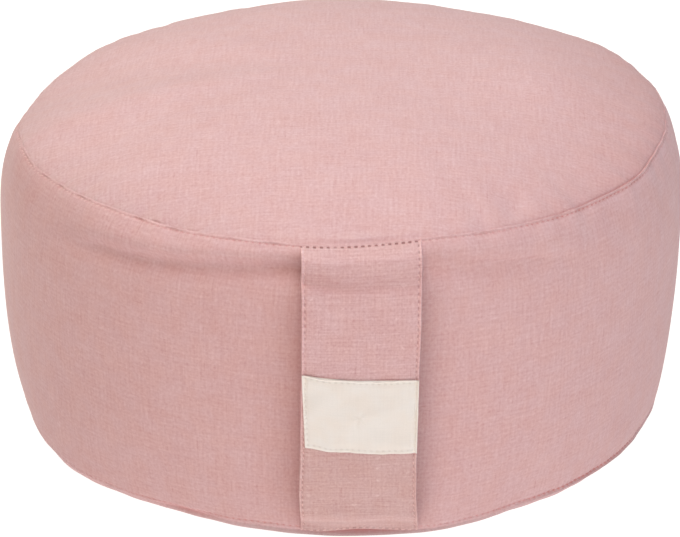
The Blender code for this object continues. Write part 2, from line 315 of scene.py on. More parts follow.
# both topstitched seams, by distance from the seam line towards the band
seam = {
    "stitches": 328,  # round each seam, about 3 mm apart
    "stitchAt": 0.0013,
    "nearerPlaces": ((-38.0, 22.0, 0.0003),),  # there the line lies nearer the crown
    # rows: distance, half-width and height, share of the height elsewhere, places. Groove, holes
    # and ropes lie at the stitches
    "ridge": (
        (0.0002, 0.00032, 0.00050),
        0.45,
        ((-36.0, 24.0, 1.70), (-87.0, 10.0, -0.35), (100.0, 90.0, -0.25)),
    ),
    "valley": (
        (-0.0005, 0.00032, -0.00050),
        0.15,
        ((-36.0, 24.0, 0.70), (-87.0, 10.0, -0.12), (100.0, 90.0, -0.15)),
    ),
    "rib": ((-0.0027, 0.0009, 0.00095), 0.0, ((-87.0, 10.5, 1.0),)),  # folded, above the strap
    "ribFoot": ((-0.0046, 0.0009, -0.00016), 0.0, ((-87.0, 10.5, 1.0),)),
    "groove": ((0.0013, 0.00050, -0.00022), 1.0, ((-150.0, 42.0, -0.55), (-42.0, 16.0, -0.25))),
    "holes": ((0.0013, 0.00042, -0.00030), 1.0, ((-150.0, 42.0, -0.55), (-42.0, 16.0, -0.25))),
    "ropes": (  # slanting ridges between the stitches
        (0.0013, 0.0011, 0.00018),
        0.35,
        ((-118.0, 16.0, 1.0), (-100.0, 7.0, 0.5), (-62.0, 15.0, 1.3)),
    ),
    "ropeSlant": 0.9,
    # darkHoles, darkValley, darkLine and lowHole below: painted shade in the stitch holes, in the valley
    # and along a line below it, heavier at the bottom seam
    "darkHoles": ((0.0013, 0.00042, 1.0), 0.25, ((-97.0, 15.0, 0.30), (-48.0, 16.0, 0.45))),
    "darkValley": 0.22,
    "darkLine": ((0.0011, 0.00042, 1.0), 0.0, ((-38.0, 22.0, 0.65), (-112.0, 22.0, 0.30))),
    "dash": (1.4, 0.1),  # how sharp and how much longer than its gap
    "lineTicks": 0.45,  # share of the line that is slanting ticks
    "tickSlant": 1.4,
    "lowHole": 2.1,  # how much darker the bottom seam's are
    "gatherHeight": 0.00042,  # wrinkles that run out of the seams
    "gatherCounts": (28, 70),
    "gatherPlaces": ((95.0, 80.0, -0.65), (-138.0, 24.0, 0.70), (-87.0, 8.0, -0.85)),
    "gatherOntoBand": 0.0130,
    "gatherOntoPanel": 0.0150,
    "gatherStart": 0.00064,
    "lowGather": 0.30,
    "lowFade": 1.6,  # how early the bottom seam's relief fades towards the flat base
    "fineGather": 0.00015,
    "fineCounts": (100, 170),
    "fineReach": 0.0050,
}


def dashes(phase, dash):
    # 0 to 1, one soft dash to each turn of the phase: ease(sharp cos(phase) + longer)
    sharp, longer = dash
    return ease(sharp * np.cos(phase) + longer)


def seamRow(angle, fromSeam, row):
    # height placed(angle) exp(-((distance - at) / half)^2)
    (at, half, height), elsewhere, places = row
    return height * placed(angle, elsewhere, places) * bell((fromSeam - at) / half)


def seamRelief(angle, fromSeam, onTop):
    # height of the cloth near a seam: ridge + valley + groove + holes + ropes + gathers, each a
    # bell across the seam, the last three also a wave along it. Only the top seam has the rib
    s = seam
    seed, share = (11, 1.0) if onTop else (23, s["lowGather"])
    fromSeam = fromSeam + placed(angle, 0.0, s["nearerPlaces"])
    rows = ("ridge", "valley", "groove") + (("rib", "ribFoot") if onTop else ())
    height = sum(seamRow(angle, fromSeam, s[name]) for name in rows)
    phase = s["stitches"] * angle
    height += pulse(phase) * seamRow(angle, fromSeam, s["holes"])
    below = (fromSeam - s["stitchAt"]) / s["holes"][0][1]
    height += np.cos(phase + s["ropeSlant"] * below) * seamRow(angle, fromSeam, s["ropes"])
    away = np.abs(fromSeam)
    reach = np.where(fromSeam > 0.0, s["gatherOntoBand"], s["gatherOntoPanel"])
    gather = s["gatherHeight"] * wander(angle, *s["gatherCounts"], seed) * np.exp(-away / reach)
    fine = s["fineGather"] * wander(angle, *s["fineCounts"], seed + 1)
    gather += fine * np.exp(-away / s["fineReach"])
    gathered = placed(angle, 1.0, s["gatherPlaces"]) * ease(away / s["gatherStart"])
    return height + share * gather * gathered


def seamPaintedShade(angle, fromSeam):
    # painted shade, 0 to 1: in the stitch holes, the valley, and a ticked line below it
    s = seam
    fromSeam = fromSeam + placed(angle, 0.0, s["nearerPlaces"])
    phase = s["stitches"] * angle
    holes = dashes(phase, s["dash"]) * seamRow(angle, fromSeam, s["darkHoles"])
    valley = s["darkValley"] * seamRow(angle, fromSeam, s["valley"]) / s["valley"][0][2]
    lineAt, lineHalf = s["darkLine"][0][:2]
    slanted = phase + s["tickSlant"] * (fromSeam - lineAt) / lineHalf
    ticked = 1.0 - s["lineTicks"] + s["lineTicks"] * dashes(slanted, s["dash"])
    line = ticked * seamRow(angle, fromSeam, s["darkLine"])
    return np.clip(holes + valley + line, 0.0, 1.0)


# the filling rounds the cloth off on both sides of the top seam
shoulder = {
    "bandSlope": 0.40,
    "bandReach": 0.0080,
    "bandPlaces": ((-123.0, 22.0, 0.55), (-58.0, 22.0, 0.30), (-5.0, 34.0, -0.75)),
    "rimSlope": 0.16,
    "rimReach": 0.0080,
    "rimPlaces": ((95.0, 78.0, 0.9), (188.0, 22.0, 1.3), (-5.0, 36.0, 1.3)),
}


def shoulderRelief(angle, fromSeam):
    # slope placed(angle) away exp(-away / reach) on the band and on the crown
    s = shoulder
    band = s["bandSlope"] * placed(angle, 1.0, s["bandPlaces"])
    rim = s["rimSlope"] * placed(angle, 1.0, s["rimPlaces"])
    onto = np.maximum(fromSeam, 0.0)
    back = np.maximum(-fromSeam, 0.0)
    return band * onto * np.exp(-onto / s["bandReach"]) + rim * back * np.exp(-back / s["rimReach"])


# folds of the band: angle and distance below the seam of both ends, how far the middle bows
# down, depth, half-width, shares of the length over which it starts and fades
folds = (
    (-88.0, 0.0044, -150.0, 0.0150, 0.0000, -0.0014, 0.0040, 0.12, 0.70),
    (-88.0, 0.0082, -150.0, 0.0256, 0.0000, 0.0026, 0.0038, 0.12, 0.60),
    (-112.0, 0.0105, -142.0, 0.0125, 0.0000, -0.0010, 0.0065, 0.40, 0.50),
    (-89.0, 0.0095, -106.0, 0.0128, 0.0000, 0.0010, 0.0024, 0.20, 0.80),
    (-84.0, 0.0048, -40.0, 0.0105, 0.0000, -0.0007, 0.0036, 0.15, 0.60),
    (-84.0, 0.0098, -42.0, 0.0222, 0.0012, 0.0012, 0.0034, 0.15, 0.60),
    (-77.0, 0.0086, -45.0, 0.0205, 0.0012, 0.0008, 0.0009, 0.10, 0.35),
    (-76.0, 0.0165, -66.0, 0.0180, 0.0000, 0.0004, 0.0013, 0.30, 0.30),
    (-136.0, 0.0215, -124.0, 0.0165, -0.0010, 0.0005, 0.0013, 0.30, 0.30),
)


def foldRelief(angle, fromSeam):
    # - depth starting fading exp(-((distance - line) / half)^2), t from end to end
    degrees = np.degrees(np.arctan2(np.sin(angle), np.cos(angle)))
    height = np.zeros_like(angle)
    for begins, first, ends, last, bow, depth, halfWidth, starts, fades in folds:
        travel = np.clip((degrees - begins) / (ends - begins), 0.0, 1.0)
        line = first + (last - first) * travel + bow * np.sin(math.pi * travel)
        window = ease(travel / starts) * ease((1.0 - travel) / fades)
        height -= depth * window * bell((fromSeam - line) / halfWidth)
    return height


# hollows of the bottom panel: under the strap's end, and where the band laps over, with painted shade in
# them and under the roll
tuckedUnder = {
    "places": ((-86.5, 7.0, 1.0), (-116.5, 5.5, 0.6)),
    "at": 0.0015,
    "half": 0.0023,
    "depth": 0.0030,
    # how much shade is painted in the hollows, then the painted shade under the roll
    "paintedDark": 1.0,
    "underside": 0.05,
    "undersidePlaces": ((-86.0, 27.0, 0.32),),
    "undersideOver": 0.0022,
}


def underRelief(angle, pastSeam):
    # - depth placed(angle) exp(-((past the seam - at) / half)^2)
    u = tuckedUnder
    return -u["depth"] * placed(angle, 0.0, u["places"]) * bell((pastSeam - u["at"]) / u["half"])


# trial of the cover under the filling, which gives the fine fullness of the cloth
trial = {
    "columns": 288,
    "rowSpacing": 0.0036,
    "crownFrom": 0.0600,
    "crownRings": (0.010, 0.030, 0.045),
    "baseRing": 0.0500,
    "frames": 20,
    "slack": 0.0001,  # unevenness that it starts from
    "slackWaves": (20, 60, 5),  # lowest and highest count, seed
    "heldWithin": 0.0010,
    "easedOver": 0.0250,
    "cap": 0.0022,
    "keep": 0.8,
    "cloth": {
        "quality": 6,
        "mass": 0.25,
        "tension_stiffness": 25.0,
        "compression_stiffness": 25.0,
        "shear_stiffness": 5.0,
        "bending_stiffness": 0.3,
        "use_pressure": True,
        "uniform_pressure_force": 4.0,
        "vertex_group_mass": "held",
        "vertex_group_shrink": "eased",
        "shrink_min": 0.0,
        "shrink_max": -0.045,  # share of cloth eased into the seams
    },
}
fullness = {"grid": None, "rows": None}  # filled by the trial: ring by column, and distances


def readFullness(angle, distance):
    # bilinear reading of the trial's grid, which is closed round the cushion
    grid = fullness["grid"]
    if grid is None:
        return np.zeros_like(angle)
    column = np.mod(angle / fullTurn, 1.0) * grid.shape[1]
    row = np.interp(distance, fullness["rows"], np.arange(len(fullness["rows"])))
    left = np.floor(column).astype(int) % grid.shape[1]
    right = (left + 1) % grid.shape[1]
    upper = np.floor(row).astype(int)
    lower = np.minimum(upper + 1, grid.shape[0] - 1)
    across = column - np.floor(column)
    down = row - upper
    top = grid[upper, left] * (1 - across) + grid[upper, right] * across
    bottom = grid[lower, left] * (1 - across) + grid[lower, right] * across
    return top * (1 - down) + bottom * down


def warp(angle, radius, height):
    # turned point (r cos a, r sin a, z), then dents, troughs and unevenness
    points = np.stack([radius * np.cos(angle), radius * np.sin(angle), height], axis=-1)
    return uneven(sinkTroughs(pressDents(points)))


def cushionSurface(angle, distance):
    # outline point + normal (seams + folds + fullness), turned and warped
    angle, distance = np.broadcast_arrays(np.asarray(angle, float), np.asarray(distance, float))
    radius, height, outward, upward = onOutline(distance)
    belowTop = distance - topSeamAt
    aboveBottom = bottomSeamAt - distance
    relief = seamRelief(angle, belowTop, True) + foldRelief(angle, belowTop)
    relief += shoulderRelief(angle, belowTop) + underRelief(angle, -aboveBottom)
    fading = ease(seam["lowFade"] * (flatAt - distance) / (flatAt - bottomSeamAt))
    relief += seamRelief(angle, aboveBottom, False) * fading + readFullness(angle, distance)
    return warp(angle, radius + outward * relief, height + upward * relief)


def spanOf(start, end, spacing):
    # even places from start up to, not including, end
    return np.linspace(start, end, max(1, round((end - start) / spacing)), endpoint=False)


# rings of the cover's mesh, from the crown's middle to the base's: how far past each landmark
# they go, how far apart they are, and how much coarser than the finest, which has a few points
# to each stitch. They are close together only at the seams
rings = {
    "first": 0.0080,
    "crown": ((0.0400, 0.0080, 16), (0.0700, 0.0050, 8), (0.1100, 0.0040, 4)),
    "topSeam": (
        (-0.0035, 0.0040, 2),
        (-0.0014, 0.0007, 1),
        (0.0024, 0.0003, 1),
        (0.0055, 0.0010, 1),
        (0.0280, 0.0013, 2),
    ),
    "bottomSeam": (
        (-0.0035, 0.0050, 2),
        (0.0, 0.0006, 1),
        (0.0015, 0.0005, 1),
        (0.0060, 0.0008, 2),
    ),
    "base": ((0.0, 0.0036, 2), (0.0300, 0.0060, 4), (0.0600, 0.0100, 8)),
    "baseMiddle": ((-0.0080, 0.0120, 16),),
    "perStitch": 4,
}


def ringPlan():
    # distance and number of points of each ring
    landmarks = (0.0, topSeamAt, bottomSeamAt, flatAt, baseMiddleAt)
    parts = ("crown", "topSeam", "bottomSeam", "base", "baseMiddle")
    finest = rings["perStitch"] * seam["stitches"]
    start = rings["first"]
    at = []
    count = []
    for landmark, part in zip(landmarks, parts):
        for past, spacing, coarser in rings[part]:
            places = spanOf(start, landmark + past, spacing)
            at.append(places)
            count.append(np.full(len(places), finest // coarser))
            start = landmark + past
    return np.concatenate(at), np.concatenate(count)


def ringFaces(count):
    # faces between neighbouring rings as (ring, column) pairs, columns left unwrapped; a ring
    # with twice the points is joined by three triangles to each gap of the coarser one
    quads = []
    triangles = []
    for above in range(len(count) - 1):
        below = above + 1
        k = np.arange(min(count[above], count[below]))
        if count[above] == count[below]:
            quads.append(stackPairs(((above, k), (below, k), (below, k + 1), (above, k + 1))))
            continue
        finerAbove = count[above] > count[below]
        fine, coarse, turn = (above, below, 1) if finerAbove else (below, above, -1)
        for corners in (
            ((fine, 2 * k), (coarse, k), (fine, 2 * k + 1)),
            ((fine, 2 * k + 1), (coarse, k), (coarse, k + 1)),
            ((fine, 2 * k + 1), (coarse, k + 1), (fine, 2 * k + 2)),
        ):
            triangles.append(stackPairs(corners[::turn]))
    return np.concatenate(quads), np.concatenate(triangles)


def stackPairs(pairs):
    # corners as an array of faces x corners x (ring, column)
    return np.stack([np.stack([np.full_like(k, ring), k], axis=-1) for ring, k in pairs], axis=1)


# where each cloth lies on the flat, in metres, so that no two share their weave
onTheFlat = {"band": (0.6, 1.0), "base": 2.0, "strap": 4.0, "patch": 5.0}


def clothUv(face, at, count):
    # panels as (distance cos, distance sin), band as (angle radius, drop)
    ring, column = face[..., 0], face[..., 1]
    distance = at[ring]
    angle = fullTurn * column / count[ring]
    middle = distance.mean(axis=1, keepdims=True)
    fromBase = baseMiddleAt - distance
    onBand = (middle > topSeamAt) & (middle < bottomSeamAt)
    onTop = middle <= topSeamAt
    reach = np.where(onTop, distance, fromBase)
    bandU, bandV = onTheFlat["band"]
    panelU = np.where(onTop, 0.0, onTheFlat["base"]) + reach * np.cos(angle)
    u = np.where(onBand, bandU + angle * cushion["widestRadius"], panelU)
    v = np.where(onBand, bandV - distance, reach * np.sin(angle))
    return np.stack([u, v], axis=-1)


def addMesh(name, points, faces, uvs=None, marks=None):
    # mesh object at the origin from an array of points and a list of face arrays
    mesh = bpy.data.meshes.new(name)
    listed = [corners for face in faces for corners in face.tolist()]
    mesh.from_pydata(points.tolist(), [], listed)
    if uvs is not None:
        layer = mesh.uv_layers.new(name="cloth")
        layer.data.foreach_set("uv", np.concatenate([uv.reshape(-1) for uv in uvs]))
    for title, values in (marks or {}).items():
        mark = mesh.attributes.new(title, "FLOAT", "POINT")
        mark.data.foreach_set("value", np.ascontiguousarray(values, dtype=np.float32))
    mesh.shade_smooth()
    made = bpy.data.objects.new(name, mesh)
    bpy.context.scene.collection.objects.link(made)
    return made


def closeRings(count, quads, triangles, first, last):
    # vertex faces of a ring mesh, with a fan from the first and last point to the end rings
    start = np.concatenate([[0], np.cumsum(count)])
    faces = [start[f[..., 0]] + f[..., 1] % count[f[..., 0]] for f in (quads, triangles)]
    k = np.arange(count[0])
    crownFan = np.stack([np.full_like(k, first), k, (k + 1) % count[0]], axis=1)
    k = np.arange(count[-1])
    bottom = start[-2]
    baseFan = np.stack([bottom + (k + 1) % count[-1], bottom + k, np.full_like(k, last)], axis=1)
    return faces + [crownFan, baseFan]


def runTrial():
    # Cloth blown up by the filling from the even turned form, with the seams and the base held
    # and some extra cloth eased in at the seams. Kept of it is the movement along the normal,
    # less the mean of each ring, because the form has its outline already.
    t = trial
    columns = t["columns"]
    spans = ((t["crownFrom"], topSeamAt), (topSeamAt, bottomSeamAt), (bottomSeamAt, flatAt))
    even = [spanOf(start, end, t["rowSpacing"]) for start, end in spans]
    at = np.concatenate([t["crownRings"], *even, [flatAt, flatAt + t["baseRing"]]])
    angle = np.tile(np.arange(columns) / columns * fullTurn, len(at))
    radius, height, outward, upward = onOutline(np.repeat(at, columns))
    start = np.stack([radius * np.cos(angle), radius * np.sin(angle), height], axis=-1)
    normal = np.stack([outward * np.cos(angle), outward * np.sin(angle), upward], axis=-1)
    slack = t["slack"] * wander(angle, *t["slackWaves"])[:, None] * normal
    ends = np.array([[0.0, 0.0, outline[0, 1]], [0.0, 0.0, 0.0]])
    count = np.full(len(at), columns)
    k = np.arange(columns)
    pairs = [((r, k), (r + 1, k), (r + 1, k + 1), (r, k + 1)) for r in range(len(at) - 1)]
    quads = np.concatenate([stackPairs(p) for p in pairs])
    first = len(start)
    faces = closeRings(count, quads, quads[:0], first, first + 1)
    cover = addMesh("trialCover", np.vstack([start + slack, ends]), faces)

    held = cover.vertex_groups.new(name="held")
    eased = cover.vertex_groups.new(name="eased")
    for ring, place in enumerate(at):
        members = list(range(ring * columns, (ring + 1) * columns))
        fromSeams = min(abs(place - topSeamAt), abs(place - bottomSeamAt))
        onPanels = place >= flatAt or place < t["crownFrom"]
        held.add(members, float(onPanels or fromSeams < t["heldWithin"]), "REPLACE")
        eased.add(members, float(np.exp(-fromSeams / t["easedOver"])), "REPLACE")
    held.add([first, first + 1], 1.0, "REPLACE")

    cloth = cover.modifiers.new("filling", "CLOTH")
    for name, value in t["cloth"].items():
        setattr(cloth.settings, name, value)
    cloth.settings.effector_weights.gravity = 0.0
    cloth.collision_settings.use_collision = False
    cloth.point_cache.frame_start = 1
    cloth.point_cache.frame_end = t["frames"]
    for step in range(1, t["frames"] + 1):
        bpy.context.scene.frame_set(step)
    shaped = cover.evaluated_get(bpy.context.evaluated_depsgraph_get()).to_mesh()
    moved = np.empty(len(shaped.vertices) * 3)
    shaped.vertices.foreach_get("co", moved)
    bpy.context.scene.frame_set(1)
    bpy.data.objects.remove(cover, do_unlink=True)

    shift = ((moved.reshape(-1, 3)[:first] - start) * normal).sum(axis=1)
    shift = shift.reshape(len(at), columns)
    print("cloth trial moved the cover by up to", round(float(shift.max()) * 1000, 2), "mm")
    shift = shift - shift.mean(axis=1, keepdims=True)
    print("of which uneven, mm rms", round(float(shift.std()) * 1000, 3))
    shift = t["cap"] * np.tanh(t["keep"] * shift / t["cap"])
    shift[: len(t["crownRings"]) + 1] = 0.0
    fine = rings["perStitch"] * seam["stitches"]
    fullness["grid"] = np.fft.irfft(np.fft.rfft(shift, axis=1), n=fine, axis=1) * fine / columns
    fullness["rows"] = at


# painted shade in the cover's colour, where the lamps leave it out; red is a share of the stitch holes'
# painted shade colour and plain only darkens
shading = {
    "besideStrap": (  # on the wall beside an edge: hand, red, plain, half-width
        (-1.0, 0.15, 0.0, 0.0040),
        (1.0, 0.04, 0.15, 0.0085),
    ),
    "wallFrom": 0.008,
    "wallOver": 0.020,
    "wallEnd": 0.004,
    "overCrown": 0.016,  # reach of the left shade from the top seam onto the crown and band
    "overBand": 0.024,
    "leftBand": (0.088, 0.065, 0.17, 0.10),  # how far left it starts, over what, red, plain
    "leftCrown": (0.010, 0.090, 0.0, 0.090),
    "rightCrown": (0.030, 0.080, 0.075, 0.042),
    "rightReaches": (0.030, 0.008),
    "shadedColourOver": 0.012,  # share of the band's shaded colour, painted shade, which the crown's right has too
    "shadedColourRight": (0.085, 0.055),
}


def cushionPaintedShade(angle, distance, x):
    # red and plain painted shade, and share of the band's shaded colour: sums of eases and bells
    s = shading
    back = np.maximum(topSeamAt - distance, 0.0)
    below = np.maximum(distance - topSeamAt, 0.0)
    above = bottomSeamAt - distance
    red = seamPaintedShade(angle, distance - topSeamAt) + seam["lowHole"] * seamPaintedShade(angle, above)
    red -= tuckedUnder["paintedDark"] / tuckedUnder["depth"] * underRelief(angle, -above)
    plain = placed(angle, tuckedUnder["underside"], tuckedUnder["undersidePlaces"])
    plain *= ease(-above / tuckedUnder["undersideOver"])

    across = fromStrap(angle) * cushion["widestRadius"]
    onWall = ease((below - s["wallFrom"]) / s["wallOver"]) * ease(above / s["wallEnd"])
    for hand, redShare, plainShare, halfWidth in s["besideStrap"]:
        beside = onWall * bell((hand * across - strap["width"] / 2) / halfWidth)
        red += redShare * beside
        plain += plainShare * beside

    nearSeam = np.exp(-back / s["overCrown"]) * bell(below / s["overBand"])
    far, close = (np.exp(-back / reach) for reach in s["rightReaches"])
    for side, fade, part in (
        (-x, nearSeam * (below > 0.0), "leftBand"),
        (-x, nearSeam * (back > 0.0), "leftCrown"),
        (x, (far + close) * (back > 0.0), "rightCrown"),
    ):
        start, over, redShare, plainShare = s[part]
        shade = ease((side - start) / over) * fade
        red += redShare * shade
        plain += plainShare * shade

    start, over = s["shadedColourRight"]
    shadedColour = ease(below / s["shadedColourOver"]) * ease(above / s["wallEnd"])
    shadedColour += ease((x - start) / over) * (distance < topSeamAt)
    return {"paintedShade": np.clip(red, 0.0, 1.0), "paintedShadeAndLight": plain, "shadedColour": shadedColour}


def fanUv(reach, count, shift, turn):
    # flat corners of the fan of triangles round a panel's middle
    edges = (np.arange(count) / count, (np.arange(count) + 1) / count)
    rim = [
        np.stack([shift + reach * np.cos(a), reach * np.sin(a)], axis=-1)
        for a in (fullTurn * edges[0], fullTurn * edges[1])
    ]
    middle = np.tile([shift, 0.0], (count, 1))
    return np.stack((middle, rim[0], rim[1])[::turn], axis=1)


def buildCushion():
    runTrial()
    at, count = ringPlan()
    quads, triangles = ringFaces(count)
    angle = np.concatenate([np.arange(n) / n * fullTurn for n in count])
    distance = np.repeat(at, count)
    points = cushionSurface(angle, distance)
    middles = cushionSurface(np.zeros(2), np.array([0.0, baseMiddleAt]))
    first = len(points)
    faces = closeRings(count, quads, triangles, first, first + 1)
    paintedShades = cushionPaintedShade(angle, distance, points[:, 0])
    marks = {name: np.append(values, [0.0, 0.0]) for name, values in paintedShades.items()}
    points = np.vstack([points, middles])
    points[:, 2] = np.maximum(points[:, 2], 0.0)

    uvs = [clothUv(face, at, count) for face in (quads, triangles)]
    uvs.append(fanUv(at[0], count[0], 0.0, 1))
    uvs.append(fanUv(baseMiddleAt - at[-1], count[-1], onTheFlat["base"], -1))
    body = addMesh("cushionBody", points, faces, uvs, marks)
    print("cushion body has", len(body.data.polygons), "faces")
    return body


# carrying strap, caught in both seams and slack between them
strap = {
    "width": 0.0530,
    "narrowing": 0.0014,
    "widening": 0.0003,  # towards the lower end
    "bow": 0.00045,  # it hangs a little to the left, and swings right above its lower end
    "swing": 0.0019,
    "swingFrom": 0.78,
    "thickness": 0.0018,
    "azimuth": math.radians(-86.87),
    "endDistance": 0.0038,
    "standOff": 0.0086,
    "bendAt": 0.0012,  # it leaves the wall in two bends below the top seam and one above its end
    "upperBend": 0.0074,
    "firstShare": 0.62,
    "secondAt": 0.0205,
    "secondBend": 0.0150,
    "lowerBend": 0.0150,
    "flattening": 0.6,
    "shoulderOver": 0.0020,
    "clearance": 0.00035,
    "topEnd": 0.0003,  # its raw ends: below the top seam line, past the bottom seam line
    "bottomEnd": 0.0006,
    "sewnOver": 0.0030,
    "tuck": 0.0012,
    "flatLength": 0.1584,
    "sewnPast": 0.0006,
    "sewnFuller": 0.0004,
    "arch": 0.0034,  # by which its lower end is higher in the middle
    "archOver": 0.0120,
    "lowShade": (0.0085, 0.0030, 0.17),  # above its lower end: distance, half-width, share
    # the painted shade of its lower part, below the patch
    "shadedColourFrom": 0.40,  # shares of the band's depth
    "shadedColourOver": 0.24,
    "pitch": 0.00266,
    "stitchInset": 0.0014,
    "grooveDepth": 0.00024,
    "grooveHalf": 0.0009,
    "holeDepth": 0.00035,
    "holeHalf": 0.0005,
    "edgeDash": (1.5, -0.1),
    # painted shade in the stitch holes of its edges and ends, from here to lowEndDark
    "edgeDark": 0.4,  # share, how much more on the right, how much and how fast it changes
    "edgeDarkRight": 0.1,
    "edgeDarkVaries": 0.3,
    "edgeDarkRun": 40.0,
    "edgeDarkWaves": (1, 6, 33),
    "edgeNarrow": 0.6,
    "endStitchAt": 0.0008,
    "endHoleDepth": 0.00060,
    "endHoleShare": 0.65,
    "endDash": (1.35, 0.35),
    "endDark": 1.5,
    "endDarkVaries": 0.7,
    "endDarkWaves": (40, 90, 35),
    "endNarrow": 0.8,
    "lowEndDark": 0.3,
    "creaseAt": 0.0173,
    "creaseDepth": 0.0029,
    "creaseAbove": 0.0046,
    "creaseBelow": 0.0024,
    "creaseBow": 0.0008,
    "creaseTurn": 2.4,
    "creaseSlant": 0.0010,
    "creaseFades": 0.25,  # towards the right
    "creaseShade": 0.13,
    "shadeAbove": 0.0022,
    "edgeWaver": 0.00018,
    "waverWaves": (2, 9, 31),  # lowest and highest count, seed
    "edgeBulge": 0.00055,
    "rimHeight": 0.00025,
    "rimAt": 0.00030,
    # painted highlight along the folded edges, and its half-width
    "rimLight": 0.14,
    "rimHalf": 0.00045,
    "ripple": 0.00022,
    "rippleWaves": (3, 9, 41),
    "slantedRipple": 0.7,
    "rippleSlant": 30.0,
    "slantedWaves": (5, 12, 42),
    "endRows": 0.0036,  # its mesh: how far the fine rows of its ends go, and how far apart
    "endSpacing": 0.0003,
    "rowsPerStitch": 5,
    "section": (150, 7, 22),  # points over its face, round an edge and over its back
}
strapLow = strap["topEnd"]
strapHigh = bandLength + strap["bottomEnd"]
strapStitchRows = round((strapHigh - strapLow) / strap["pitch"])


def fromStrap(angle):
    # angle past the strap's middle, from minus to plus half a turn
    return np.mod(angle - strap["azimuth"] + math.pi, fullTurn) - math.pi


def strapWidth(distance):
    # width - narrowing sin(pi travel) + waver of the folded edges + widening of the lower half
    travel = (distance - strapLow) / (strapHigh - strapLow)
    waver = strap["edgeWaver"] * wander(travel * fullTurn, *strap["waverWaves"])
    waver = waver + strap["widening"] * ease(2.0 * travel - 1.0)
    return strap["width"] - strap["narrowing"] * np.sin(math.pi * travel) + waver


def strapStitching(across, distance):
    # distance in from the edge, phase of the edge stitches, angle round the cushion
    inward = strapWidth(distance) / 2 - np.abs(across)
    angle = strap["azimuth"] + across / cushion["topSeamRadius"]
    alongEdge = fullTurn * (distance - strapLow) / strap["pitch"]
    return inward, alongEdge, angle


def strapRelief(across, distance):
    # grooves along the edge stitches, holes at each stitch and a faint ripple over the face
    s = strap
    inward, alongEdge, angle = strapStitching(across, distance)
    fromStitches = inward - s["stitchInset"]
    height = -s["grooveDepth"] * bell(fromStitches / s["grooveHalf"])
    height -= s["holeDepth"] * pulse(alongEdge) * bell(fromStitches / s["holeHalf"])
    height += s["rimHeight"] * bell((inward - s["rimAt"]) / s["rimAt"])
    hole = 1.0 - s["endHoleShare"] + s["endHoleShare"] * pulse(seam["stitches"] * angle)
    for end in (distance - strapLow, strapHigh - distance):
        height -= s["endHoleDepth"] * hole * bell((end - s["endStitchAt"]) / s["holeHalf"])
    turn = fullTurn * distance / (strapHigh - strapLow)
    slanted = wander(turn + s["rippleSlant"] * across, *s["slantedWaves"])
    ripple = wander(turn, *s["rippleWaves"]) + s["slantedRipple"] * slanted
    return height + s["ripple"] * ripple


def strapPaintedShade(across, distance):
    # painted shade, 0 to 1, at the stitch holes of the edges and ends, beside the patch and where it
    # bends
    s = strap
    inward, alongEdge, angle = strapStitching(across, distance)
    hand = np.sign(across)
    change = wander(distance * s["edgeDarkRun"] + 2.0 * hand, *s["edgeDarkWaves"])
    edge = s["edgeDark"] + s["edgeDarkRight"] * hand + s["edgeDarkVaries"] * change
    edge = edge * dashes(alongEdge, s["edgeDash"])
    edge = edge * bell((inward - s["stitchInset"]) / (s["edgeNarrow"] * s["holeHalf"]))
    top, bottom = (
        bell((end - s["endStitchAt"]) / (s["endNarrow"] * s["holeHalf"]))
        for end in (distance - strapLow, strapHigh - distance)
    )
    ends = s["endDark"] * (1.0 + s["endDarkVaries"] * wander(angle, *s["endDarkWaves"]))
    ends = ends * dashes(seam["stitches"] * angle, s["endDash"])
    ends = ends * (top + s["lowEndDark"] * bottom)
    share = across / (patch["width"] / 2)
    beyond = np.abs(distance - patchMiddle - patchDrop(share)) - patch["height"] / 2
    shadowAt, shadowHalf, shadow = patch["shadow"]
    beside = shadow * bell((beyond - shadowAt) / shadowHalf) * (np.abs(share) < 1.0)
    folded = s["creaseShade"] * strapCrease(across, distance + s["shadeAbove"])
    lowAt, lowHalf, low = s["lowShade"]
    turnedIn = low * bell((strapHigh - distance - lowAt) / lowHalf)
    return np.clip(edge + ends + beside + folded + turnedIn, 0.0, 1.0)


def strapCrease(across, distance):
    # 0 to 1 over the soft crease below the top bend, shallower towards the right
    s = strap
    share = 2 * across / s["width"]
    line = s["creaseAt"] + s["creaseBow"] * np.cos(s["creaseTurn"] * share) + s["creaseSlant"] * share
    below = distance - line
    halfWidth = np.where(below < 0.0, s["creaseAbove"], s["creaseBelow"])
    return (1.0 - s["creaseFades"] * share) * bell(below / halfWidth)


def strapPaintedHighlight(across, distance):
    # painted highlight: less than 0 along the folded edges, which catch the light
    inward = strapWidth(distance) / 2 - np.abs(across)
    return -strap["rimLight"] * bell((inward - strap["rimHalf"]) / strap["rimHalf"])


def strapShadedColour(across, distance):
    # painted shade: 0 above the patch and 1 below it, where the cloth is painted a little darker
    down = distance / bandLength + np.zeros_like(across)
    return ease((down - strap["shadedColourFrom"]) / strap["shadedColourOver"])


